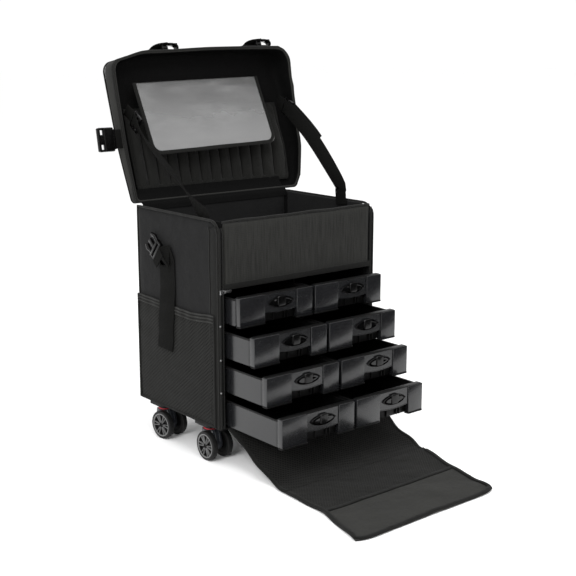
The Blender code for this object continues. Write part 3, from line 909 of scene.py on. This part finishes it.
def drawers():
    for row in range(1, 5):
        for label, _ in SIDES:
            name = f"{row}_{label}"
            where = Matrix.Translation(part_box("drawer_front_" + name)[0])
            slide = "drawer_" + name
            piece("drawer_face_" + name, drawer_face(), ("drawer", "tray_inside", "gloss", "buckle"), "drawer",
                  slide, where, ("drawer_front_" + name,))
            piece("drawer_shell_" + name, drawer_tray(), ("drawer", "tray_inside"), "drawer",
                  slide, where, ("tray_" + name,))


drawers()


# ---- casters
def annulus(profile, count=40):
    """A ring turned about x from a closed profile of (x, radius) pairs."""
    return skin([[(x, r * cos(t), r * sin(t)) for x, r in profile] for t in angles(count)], loop=True)


def wheel_pair():
    parts = []
    for side in (-1, 1):
        def out(profile):
            return [(side * x, r) for x, r in profile]
        tread = [(0.0122, 0.0205), (0.0122, 0.0272), (0.0132, 0.0286), (0.015, 0.029), (0.0215, 0.029),
                 (0.0231, 0.0284), (0.0239, 0.0268), (0.0239, 0.024), (0.0225, 0.0205)]
        parts.append((annulus(out(tread)), 0))
        parts.append((annulus(out([(0.0218, 0.0212), (0.0239, 0.0216), (0.024, 0.0238), (0.0225, 0.024)])), 1))
        parts.append((turned(out([(0.0124, 0.021), (0.0195, 0.0214), (0.0203, 0.012), (0.0198, 0.003)])), 2))
        hub = [(0.0195, 0.0058), (0.0232, 0.0052), (0.0238, 0.004), (0.0232, 0.0022)]
        parts.append((turned(out(hub), 20), 2))
        for k in range(6):
            for lean in (-0.17, 0.17):
                x0, x1 = sorted((side * 0.02, side * 0.0234))
                bar = brick((x0, 0.0045, -0.0006), (x1, 0.0222, 0.0006), 0.0003)
                swing = Matrix.Rotation(radians(60 * k) + lean, 4, "X")
                parts.append((moved(bar, swing), 1))
    return join(*parts)


def fork_body(trail, axle_z):
    """The blue-grey leg between the wheels, with a raised horseshoe rib and a round top."""
    outline = [(0.0165, -0.017), (0.012, -0.015), (-0.016, -0.015), (-0.019, -0.02)]
    for i in range(13):
        t = radians(168 + 180 * i / 12)
        outline.append((-trail + 0.0125 * cos(t), axle_z + 0.0125 * sin(t)))
    outline.append((0.017, -0.025))
    outline = dense(outline, 0.004)
    parts = [(puck(outline, 0, (-0.0105, -0.009, 0.009, 0.0105), (0.0014, 0, 0, 0.0014)), 0)]
    for x in (-0.0045, 0.0045):
        front = [(x, p[0] - 0.0004, p[1]) for p in outline if p[0] < -0.0135 and p[1] > axle_z + 0.004]
        if len(front) > 2:
            parts.append((sweep(front, circle(0.0014), (1, 0, 0)), 0))
    rings = [[(r * cos(t), r * sin(t), z - 0.0152) for t in steps(0, 2 * pi, 28)[:-1]]
             for r, z in ((0.0145, 0), (0.0165, -0.0008), (0.0168, -0.004), (0.015, -0.0052))]
    parts.append((skin(rings), 0))
    return join(*parts)


def red_ring():
    path = [(0.0136 * cos(t), 0.0136 * sin(t), -0.0146) for t in steps(0, 2 * pi, 32)[:-1]]
    return sweep(path, circle(0.0014, 8), (0, 0, 1), loop=True)


def casters():
    for end in ("front", "rear"):
        for label, _ in SIDES:
            name = f"{end}_{label}"
            swivel, spin = pivot("caster_swivel_" + name), pivot("wheel_spin_" + name)
            axis = JOINTS["wheel_spin_" + name]["axis"]
            turn = Matrix.Rotation(atan2(axis[1], axis[0]), 4, "Z")
            trail = Vector((spin.x - swivel.x, spin.y - swivel.y)).length
            head = Matrix.Translation(swivel) @ turn
            piece("caster_leg_" + name, fork_body(trail, spin.z - swivel.z), ("fork",), "fork",
                  "caster_" + name, head, ("caster_fork_" + name,))
            piece("swivel_ring_" + name, red_ring(), "red", "fork", "caster_" + name, head)
            piece("wheel_pair_" + name, wheel_pair(), ("rubber", "rim", "hub"), "wheel",
                  "wheels_" + name, Matrix.Translation(spin) @ turn, ("caster_wheels_" + name,))


casters()


# ---- lid
RIGHT_BOW = ((-0.02, 0.008), (0.005, 0.015), (0.031, 0.0245), (0.087, 0.0265), (0.153, 0.016), (0.215, 0.0085),
             (0.2455, 0.002), (0.32, -0.002))
LEFT_BOW = ((-0.02, 0), (0, 0), (0.137, 0.004), (0.26, 0.003), (0.32, 0))
FRONT_BOW = ((-0.24, -0.006), (-0.217, -0.004), (-0.132, 0.013), (0.028, 0.0175), (0.186, 0.017), (0.212, 0.006),
             (0.24, 0.006))
LID_TWIST = tan(radians(5))
CROWN_TWIST = 0.35  # share of the twist that reaches the crown


def along(table, at):
    """A smooth line through a table of (position, value) pairs."""
    for (a, va), (b, vb) in zip(table, table[1:]):
        if at <= b:
            return va + (vb - va) * ease(clamp((at - a) / (b - a)))
    return table[-1][1]


def slumped(p):
    """Where a point of the straight lid ends up on the soft one, which bulges and twists under its straps."""
    x, s, n = p[0], -p[1], p[2]
    inside = max(0, min(LID_LENGTH, s))
    side = min(1, abs(x) / lid_half(inside))
    right = along(RIGHT_BOW, s) * side ** 3 if x > 0 else -along(LEFT_BOW, s) * side ** 3
    far = clamp((s - 0.17) / 0.12)
    front = along(FRONT_BOW, x) * far * far
    reach = clamp((x + 0.1) / 0.3)
    deep = clamp(n / lid_depth(inside))
    lean = -LID_TWIST * max(0, s) * reach * reach * (3 - 2 * reach) * (1 - (1 - CROWN_TWIST) * deep)
    return Vector((x + right, -(s + front), n + lean))


def slump(bm):
    for v in bm.verts:
        v.co = slumped(v.co)
    return bm


def lid_half(s):
    return LID_HALF_BACK + (LID_HALF_FRONT - LID_HALF_BACK) * s / LID_LENGTH


def lid_depth(s):
    return LID_DEPTH_BACK + (LID_DEPTH_FRONT - LID_DEPTH_BACK) * s / LID_LENGTH


def lid_plan():
    """The lid's outline as shares of its half width and length, its back corners tighter than its front ones."""
    points, near, far = [], 0.03, 0.07
    for x, s, radius, start in ((1, 0, near, -90), (1, 1, far, 0), (-1, 1, far, 90), (-1, 0, near, 180)):
        for i in range(7):
            t = radians(start + 90 * i / 6)
            points.append((x * (1 - radius) + radius * cos(t), s + (radius if s == 0 else -radius)
                           + radius * sin(t)))
    return dense(points, 0.06)


LID_PLAN = lid_plan()


def lid_ring(inset, level, bow=0):
    """The lid's rounded outline in its own frame; bow lets the long walls swell outward."""
    points = []
    for x, s in LID_PLAN:
        run = inset + s * (LID_LENGTH - 2 * inset)
        swell = bow * sin(pi * clamp(s)) if abs(x) > 0.9 else 0
        front = bow * 0.4 * cos(pi * x / 2) if s > 0.9 else 0
        reach = x * (lid_half(run) - inset + swell)
        n = level * lid_depth(run)
        wrinkle = ripple((x, s, level), 3, 0.0016)
        points.append(Vector((reach + wrinkle * (1 if x > 0 else -1), -run - front, n)))
    return points


def lid_shell():
    """Two skins joined over the rim: the padded outside and the black lining."""
    slots = []
    rings = []
    for inset, share in ((0.14, 0), (0.11, 0.22), (0.07, 0.5), (0.03, 0.8)):
        ring = lid_ring(inset, 1)
        rings.append([p + Vector((0, 0, 0.004 * (1 - share * share))) for p in ring])
        slots.append(0)
    for inset, level, bow in ((0.01, 1, 0), (0.0045, 0.97, 0.001), (0.0012, 0.88, 0.0022), (0, 0.7, 0.0035),
                              (0, 0.45, 0.004), (0, 0.2, 0.0028), (0, 0, 0.001)):
        rings.append(lid_ring(inset, level, bow))
        slots.append(0)
    rings.append([p + Vector((0, 0, -0.0008)) for p in lid_ring(0.0022, 0, 0.001)])
    slots.append(0)
    for inset, level, bow in ((LID_WALL, 0, 0.001), (LID_WALL, 0.25, 0.003), (LID_WALL, 0.5, 0.0035),
                              (LID_WALL + 0.001, 0.72, 0.0025), (LID_WALL + 0.004, 0.86, 0.001), (0.03, 0.885, 0),
                              (0.1, 0.885, 0), (0.14, 0.885, 0)):
        rings.append(lid_ring(inset, level, bow))
        slots.append(1)
    shell = on_lid("lid_skin", slump(skin(rings, slots=slots)), ("lid", "inner"), "nylon", stands_for=("lid_shell",),
                   crisp=50, round_off=True)
    rim = [p + Vector((0, 0, 0.0008)) for p in lid_ring(0.0012, 0, 0.0012)]
    on_lid("lid_rim_piping", slump(sweep(rim, circle(0.0022), (0, 0, 1), loop=True)), "piping", "nylon")
    crown = lid_ring(0.0012, 0.93, 0.0018)
    on_lid("lid_crown_piping", slump(sweep(crown, circle(0.0018), (0, 0, 1), loop=True)), "piping", "nylon")
    seam = [p + Vector((0, 0, 0.006)) for p in lid_ring(-0.0002, 0, 0.0018)]
    around = [Vector((p.x, (p.y + 0.145) * 1.3, 0)) for p in seam]
    on_lid("lid_zip_tape", slump(sweep(seam, tape(0.0085, 0.0012), around, loop=True)), "binding", "nylon")


SLOT_HALF, SLOT_NEAR, SLOT_FAR, SLOT_COUNT = 0.184, 0.024, 0.188, 14


def slot_face(s):
    return lid_depth(s) - LID_WALL - 0.0012 - 0.007


def slot_panel():
    """Brush slots: a row of sewn tubes, fuller at the mouth than at the hem."""
    rows = []
    for i in range(33):
        share = i / 32
        s = SLOT_NEAR + (SLOT_FAR - SLOT_NEAR) * share
        row = []
        for k in range(SLOT_COUNT * 10 + 1):
            across = k / 10
            x = -SLOT_HALF + 2 * SLOT_HALF * across / SLOT_COUNT
            drift = ripple((across * 0.7, share, 2), 2.2, 0.0016) * sin(pi * share)
            tube = abs(sin(pi * across)) ** 0.5
            full = 0.0096 * (0.35 + 0.65 * sin(pi * min(1, share * 1.15)) ** 0.7)
            dent = ripple((across * 1.7, share * 5, 5), 1.4, 0.002)
            lean = 0.25 * sin(2 * pi * across) * 0.0022
            row.append((x + drift + lean, -s, slot_face(s) - full * tube - dent * tube + 0.0072))
        rows.append(row)
    panel = on_lid("slot_panel", slump(sheet(rows, 0.0016)), "lining", "lining", stands_for=("brush_slot_panel",),
                   crisp=70)
    hems = []
    for s, wide in ((SLOT_NEAR + 0.002, 0.012), (SLOT_FAR - 0.002, 0.009)):
        line = [(x, -s, slot_face(s) + 0.0056 + ripple((x, s, 0), 25, 0.0006))
                for x in steps(-SLOT_HALF - 0.003, SLOT_HALF + 0.003, 40)]
        hems.append(sweep(line, tape(wide, 0.003), (0, 0, -1)))
    for x in (-SLOT_HALF, SLOT_HALF):
        line = [(x, -s, slot_face(s) + 0.006) for s in steps(SLOT_NEAR, SLOT_FAR, 24)]
        hems.append(sweep(line, tape(0.008, 0.0026), (0, 0, -1)))
    on_lid("slot_hems", slump(join(*hems)), "binding", "lining")


def sleeve(half_a, half_b, wall, depth, count=36):
    """An oval sleeve about z: the mouth of a buckle."""
    rings = []
    for t in angles(count):
        c, s = cos(t), sin(t)
        squash = (abs(c) ** 2.6 + abs(s) ** 2.6) ** (-1 / 2.6)
        out = Vector((half_a * c * squash, half_b * s * squash, 0))
        inward = Vector((-c, -s, 0)) * wall
        up = Vector((0, 0, depth / 2))
        rings.append([out - up + inward * 0.3, out - up * 0.7, out + up * 0.7, out + up + inward * 0.3,
                      out + inward * 0.8 + up, out + inward + up * 0.8, out + inward - up * 0.8,
                      out + inward * 0.8 - up])
    return skin(rings, loop=True)


def lid_buckles():
    for label, ring_x, ring_s, stub_from in (("left", -0.07, 0.311, -0.106), ("right", 0.1635, 0.3165, 0.124)):
        parts = [sleeve(0.0215, 0.01, 0.0036, 0.016),
                 brick((-0.019, -0.0035, -0.006), (-0.004, 0.005, 0.003), 0.002),
                 brick((-0.0205, -0.0094, -0.0065), (0.0205, -0.0056, 0.0065), 0.0015)]
        lean = slumped((ring_x, -0.28, 0)).z * 0.7
        place = Matrix.Translation((ring_x, -ring_s, 0.0205 + lean)) @ Matrix.Rotation(radians(-8), 4, "X")
        on_lid("front_sleeve_" + label, moved(join(*parts), place), "buckle", "buckle", 
               stands_for=("lid_front_buckle_" + label,))
        base_s = ring_s - 0.0085
        stub = [(stub_from, -base_s + 0.002, 0.03 + lean), (stub_from + 0.004, -base_s - 0.0055, 0.0275 + lean),
                (stub_from + 0.012, -base_s - 0.0105, 0.0235 + lean),
                (ring_x - 0.006, -base_s - 0.0125, 0.0205 + lean)]
        folded = sweep(smooth_line(stub, 0.003), tape(0.027, 0.0032), (0.1, -0.9, 0.4))
        base = brick((stub_from - 0.015, -base_s - 0.0055, 0.012 + lean), (ring_x + 0.008, -base_s, 0.037 + lean),
                     0.0018)
        on_lid("front_stub_" + label, join(folded, base), "webbing", "webbing")
    parts = [brick(*row) for row in (
        ((-0.269, -0.1535, 0.0052), (-0.2625, -0.1065, 0.0128), 0.0022),
        ((-0.256, -0.154, 0.0044), (-0.233, -0.106, 0.0136), 0.0028),
        ((-0.2665, -0.154, 0.0052), (-0.25, -0.149, 0.0128), 0.0018),
        ((-0.2665, -0.111, 0.0052), (-0.25, -0.106, 0.0128), 0.0018),
        ((-0.266, -0.14, 0.006), (-0.25, -0.12, 0.012), 0.0016),
        ((-0.235, -0.15, 0.006), (-0.229, -0.11, 0.0122), 0.0016))]
    on_lid("side_sleeve_left", join(*parts), "buckle", "buckle", stands_for=("lid_side_buckle_left",))
    line = [(-0.233, -0.13, 0.009), (-0.223, -0.13, 0.0086), (-0.213, -0.13, 0.008), (-0.2095, -0.13, 0.0076)]
    on_lid("side_stub_left", sweep(smooth_line(line, 0.004), tape(0.038, 0.0034), (0, 0, 1)), "webbing", "webbing")
    parts = [brick(*row) for row in (
        ((0.2335, -0.154, 0.004), (0.241, -0.106, 0.033), 0.0026),
        ((0.2335, -0.15, 0.002), (0.2405, -0.144, 0.008), 0.0018),
        ((0.2345, -0.14, 0.0024), (0.24, -0.12, 0.007), 0.0016))]
    on_lid("side_sleeve_right", join(*parts), "buckle", "buckle", stands_for=("lid_side_buckle_right",))
    line = [(0.2375, -0.13, 0.03), (0.231, -0.13, 0.034), (0.224, -0.13, 0.033)]
    on_lid("side_stub_right", sweep(smooth_line(line, 0.004), tape(0.038, 0.0032), (1, 0, 1)), "webbing", "webbing")


GUSSET_LEFT, GUSSET_RIGHT, GUSSET_DEEP = -0.185, 0.186, 0.054


def hinge_gusset():
    """The strip of cloth that joins the lid to the body along the back."""
    rows = []
    lid_from = CASE.inverted() @ LID
    for x in steps(GUSSET_LEFT, GUSSET_RIGHT, 37):
        inner = [Vector((x, HALF_D - 0.013, TOP - 0.012)), Vector((x, HALF_D - 0.008, TOP + 0.0005)),
                 Vector((x, HALF_D + 0.0006, TOP + 0.0036))]
        up = [lid_from @ Vector((x - 0.01, -s, n)) for s, n in ((0.0062, 0.004), (0.016, 0.0095), (0.027, 0.0118))]
        rows.append(smooth_line(inner + up, 0.004))
    gusset = piece("hinge_gusset", sheet(rows, 0.0012), "inner", "nylon")
    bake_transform(gusset)


WINDOW = Matrix.Translation(pivot("window_hinge")) @ Matrix.Rotation(radians(-100 - 14.7), 4, "X")
WINDOW = WINDOW @ Matrix.Translation((-0.0055, -0.0008, 0)) @ Matrix.Rotation(radians(-1.6), 4, "Z")
WINDOW_HALF, WINDOW_DROP, WINDOW_CORNER = 0.161, 0.156, 0.02
TRIM_INSET = 0.0042


def window():
    """Clear vinyl with a bound edge on three sides, sewn along its top."""
    def bend(x, y):
        sag = -0.003 * sin(pi * y / WINDOW_DROP) * cos(pi * x / (2 * WINDOW_HALF))
        return sag + ripple((x, y, 0), 13, 0.0016) * min(1, y / 0.03)

    rows = []
    radius = WINDOW_CORNER - 0.001
    for y in steps(0.0004, WINDOW_DROP - 0.001, 40):
        corner = max(0, y - (WINDOW_DROP - 0.001 - radius))
        half = WINDOW_HALF - 0.001 - (radius - sqrt(max(0, radius ** 2 - corner ** 2)))
        rows.append([(x, y, bend(x, y)) for x in steps(-half, half, 48)])
    film = piece("window_film", sheet(rows, 0.0006), "film", "window", "window", WINDOW, ("window_pane",), 60)
    radius = WINDOW_CORNER
    turn = [(-WINDOW_HALF, 0), (-WINDOW_HALF, WINDOW_DROP - radius)]
    for i in range(1, 8):
        t = radians(180 - 90 * i / 8)
        turn.append((-WINDOW_HALF + radius + radius * cos(t), WINDOW_DROP - radius + radius * sin(t)))
    turn.append((-WINDOW_HALF + radius, WINDOW_DROP))
    path = turn + [(-x, y) for x, y in reversed(turn)]
    path = [(p.x, p.y, bend(p.x, min(p.y, WINDOW_DROP))) for p in dense(path, 0.006, closed=False)]
    inward = [Vector((x * (1 - TRIM_INSET / WINDOW_HALF), y - (TRIM_INSET if y > WINDOW_DROP - 0.02 else 0), z))
              for x, y, z in path]
    trim = sweep(inward, tape(0.0085, 0.0026), (0, 0, 1))
    top = [(x, 0.0012, bend(x, 0.0012) + 0.0004) for x in steps(-WINDOW_HALF + 0.002, WINDOW_HALF - 0.002, 30)]
    seam = sweep(top, tape(0.003, 0.002), (0, 0, 1))
    piece("window_trim", join(trim, seam), "binding", "webbing", "window", WINDOW, ("window_binding",))


STAY_TOP, STAY_LOW = Vector((0.172, 0.575)), Vector((-0.06, 0.412))
STAY_ROUTES = {
    # x on the body, x on the lid, most outward sway, most twist, width, and the route as (y, z)
    "left": (0.1815, 0.182, 0.007, 1.2, 0.026,
             ((-0.077, 0.385), (-0.0775, 0.4055), (-0.05, 0.42), (0.0336, 0.4847), (0.12, 0.542),
              (0.172, 0.5795))),
    "right": (0.1815, 0.206, 0, -0.35, 0.03,
              ((-0.056, 0.39), (-0.053, 0.418), (-0.047, 0.4357), (0.048, 0.519), (0.13, 0.57),
               (0.172, 0.589))),
}


def stay_straps():
    """The two straps that hold the lid open; each turns from the body to the lid."""
    top, low = STAY_TOP, STAY_LOW
    for label, side in SIDES:
        body_x, lid_x, sway, twist_most, width, route = STAY_ROUTES[label]
        run = smooth_line([(0, y, z) for y, z in route], 0.005)
        path, face = [], []
        for i, point in enumerate(run):
            reach = clamp((point.y - low.x) / (top.x - low.x))
            x = side * (body_x + (lid_x - body_x) * reach + sway * sin(pi * reach ** 1.4))
            path.append((x, point.y, point.z))
            after, before = run[min(i + 1, len(run) - 1)], run[max(i - 1, 0)]
            ahead = (after - before).normalized()
            twist = twist_most * sin(pi * min(1, reach * 1.08)) ** 0.8
            face.append(Vector((1, 0, 0)) * cos(twist) + Vector((0, -ahead.z, ahead.y)) * sin(twist))
        web = sweep(path, tape(width, 0.0019), face)
        if side > 0:  # the right strap's free end lies along it
            free = [(x + 0.0026, y - 0.004, z + 0.0015) for x, y, z in path if 0.04 < y < 0.15]
            web = join(web, sweep(free, tape(0.031, 0.0019), (1, 0.22, -0.3)))
        strap = piece("stay_strap_web_" + label, web, "webbing", "webbing", stands_for=("stay_strap_" + label,))
        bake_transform(strap)
        rise = (Vector(path[-1]) - Vector(path[-8])).normalized()
        ahead = Vector((0, rise.y, rise.z)).normalized()
        out = Vector((1, 0, 0))
        across = ahead.cross(out)
        place = placed(Vector((side * lid_x, path[-1][1], path[-1][2])) - ahead * 0.026, across, ahead, out)
        frame_bits = [brick(*row, 0.0012) for row in (
            ((-0.0185, -0.012, -0.0022), (-0.0145, 0.014, 0.0022)),
            ((0.0145, -0.012, -0.0022), (0.0185, 0.014, 0.0022)),
            ((-0.0185, -0.0135, -0.0026), (0.0185, -0.0095, 0.0026)),
            ((-0.0185, -0.0015, -0.0032), (0.0185, 0.002, 0.0018)),
            ((-0.0185, 0.0105, -0.0026), (0.0185, 0.0145, 0.0026)))]
        piece("stay_adjuster_" + label, moved(join(*frame_bits), place), "buckle", "buckle", "lid")
        anchor = [Vector(path[-1]) + ahead * a for a in (-0.016, 0, 0.014)]
        anchor[2] += Vector((side * 0.003, 0, 0))
        piece("stay_anchor_" + label, sweep(anchor, tape(0.026, 0.003), (1, 0, 0)), "webbing", "webbing", "lid")


# ---- let-down front
RAMP_LEFT, RAMP_RIGHT = -0.18, 0.178
RAMP_LINE = ((-0.1425, 0.004), (-0.16, -0.0045), (-0.177, -0.013), (-0.2205, -0.036), (-0.262, -0.057),
             (-0.29, -0.0655), (-0.313, -0.0688))
RAMP_START, RAMP_RUN = -0.1425, 0.172
# the apron's plan as (y, left x, right x), the seam where its net ends, and the floor it lies on
APRON_PLAN = ((-0.3135, -0.182, 0.176), (-0.35, -0.184, 0.164), (-0.385, -0.1855, 0.153), (-0.42, -0.187, 0.143),
              (-0.45, -0.195, 0.1365), (-0.48, -0.203, 0.13), (-0.51, -0.2105, 0.1255),
              (-0.545, -0.218, 0.1215))
APRON_START, APRON_RUN, APRON_SEAM, FLOOR_Z = -0.3135, 0.2245, -0.42, -0.0712
ACROSS = 60  # steps across each sheet


def bend_between(obj):
    """Bakes a sheet's placement into its points."""
    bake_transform(obj)


def ramp():
    """The part of the let-down front that slopes from the body to the floor."""
    line = smooth_line(RAMP_LINE, 0.005)
    rows = []
    for p in line:
        y, z = p.x, p.y
        share = (RAMP_START - y) / RAMP_RUN
        row = []
        for i in range(ACROSS + 1):
            a = i / ACROSS
            near = max(0, 1 - min(a, 1 - a) / 0.1)
            x = RAMP_LEFT + (RAMP_RIGHT - RAMP_LEFT) * a
            x -= max(0, share - 0.72) * 0.016 * max(0, 2 * a - 1)
            x += near * (1 if a < 0.5 else -1) * (-0.0022 * sin(share * 15 + a * 2)) * min(1, share * 4)
            wave = ripple((x, y, 3), 17, 0.0022) + near * 0.0018 * sin(share * 13 + 4 * a)
            row.append((x, y, z + wave * min(1, share * 5) * min(1, (1.02 - share) * 6)))
        rows.append(row[::-1])
    cloth_piece = piece("flap_ramp_net", sheet(rows, 0.0034), "apron", "lining", stands_for=("flap_ramp",), crisp=60)
    bend_between(cloth_piece)
    for label, index, inward in (("left", ACROSS, 0.0035), ("right", 0, -0.0035)):
        edge = [Vector(row[index]) + Vector((inward, 0, -0.0012)) for row in rows]
        bound = piece("flap_ramp_binding_" + label, sweep(edge, tape(0.0085, 0.0048), (0, -0.4, 1)), "binding",
                      "webbing")
        bend_between(bound)


def apron():
    """The part that lies on the floor: net first, then plain cloth, with a bound edge."""
    rows = []
    for y, x0, x1 in smooth_line(APRON_PLAN, 0.0045):
        share = (APRON_START - y) / APRON_RUN
        row = []
        for i in range(ACROSS + 1):
            a = i / ACROSS
            edge = min(a, 1 - a)
            x = x0 + (x1 - x0) * a
            near = max(0, 1 - edge / 0.12)
            end = max(0, (share - 0.9) / 0.1) * (1 - min(1, edge / 0.1)) ** 2
            bend_y = y + 0.006 * end + ripple((x, 0, 1), 8, 0.0012) * share
            lift = 0.0012 + 0.0016 * near * (1 + sin(share * 16 + 5 * a)) / 2
            crease = 0.0019 * abs(ripple((x, y * 1.6, 7), 15, 1)) ** 1.5 * (1.8 if y < APRON_SEAM else 0.8)
            fade = share * 8
            row.append((x, bend_y, FLOOR_Z + (lift + crease + ripple((x, y, 5), 24, 0.0006)) * min(1, fade)
                        + 0.0022 * max(0, 1 - fade)))
        rows.append(row[::-1])
    cut = next(i for i, row in enumerate(rows) if row[ACROSS // 2][1] < APRON_SEAM)
    both = join((sheet(rows[:cut + 1], 0.0026), 0), (sheet(rows[cut:], 0.0026), 1))
    cloth_piece = piece("flap_apron_net", both, ("apron", "apron_end"), "lining", stands_for=("flap_apron",),
                        crisp=60)
    bend_between(cloth_piece)
    left_edge = [Vector(row[ACROSS]) for row in rows[1:]]
    right_edge = [Vector(row[0]) for row in rows[1:]]
    far = [Vector(p) for p in reversed(rows[-1])]
    outline = left_edge[:-1] + far + right_edge[-2::-1]
    middle = Vector((-0.025, -0.43, 0))
    outline = [p + (middle - p).normalized() * 0.004 + Vector((0, 0, -0.0006)) for p in outline]
    outline = [Vector((p.x, p.y, max(p.z, -0.0706))) for p in outline]
    seam = [Vector(p) + Vector((0, 0, 0.0008)) for p in rows[cut]]
    for name, line, section in (("flap_apron_binding", smooth_line(outline[::3], 0.006), tape(0.0085, 0.0046)),
                                ("flap_pocket_seam", seam[1:-1], tape(0.0095, 0.0034))):
        piece(name, sweep(line, section, (0, 0, 1)), "binding", "webbing", "flap_apron")


# ---- plain materials for the CAD nodes that stay
def carried_over():
    # the cabinet walls and divider take the darker plastic, painted shade between the drawers
    looks = {"base_board": "board", "compartment_floor": "board", "cabinet_wall_left": "tray_inside",
             "cabinet_wall_right": "tray_inside", "cabinet_divider": "tray_inside", "handle_housing": "fork",
             "handle_tube_left": "tube", "handle_tube_right": "tube", "handle_grip": "buckle",
             "handle_button": "tube"}
    for end in ("front", "rear"):
        for label, _ in SIDES:
            looks[f"caster_mount_{end}_{label}"] = "rubber"
    for node, look in looks.items():
        slots = NODES[node].data.materials
        if not slots:
            slots.append(None)
        for index in range(len(slots)):
            slots[index] = LOOKS[look]


lid_shell()
slot_panel()
lid_buckles()
hinge_gusset()
window()
stay_straps()
ramp()
apron()
carried_over()

bpy.context.view_layer.update()
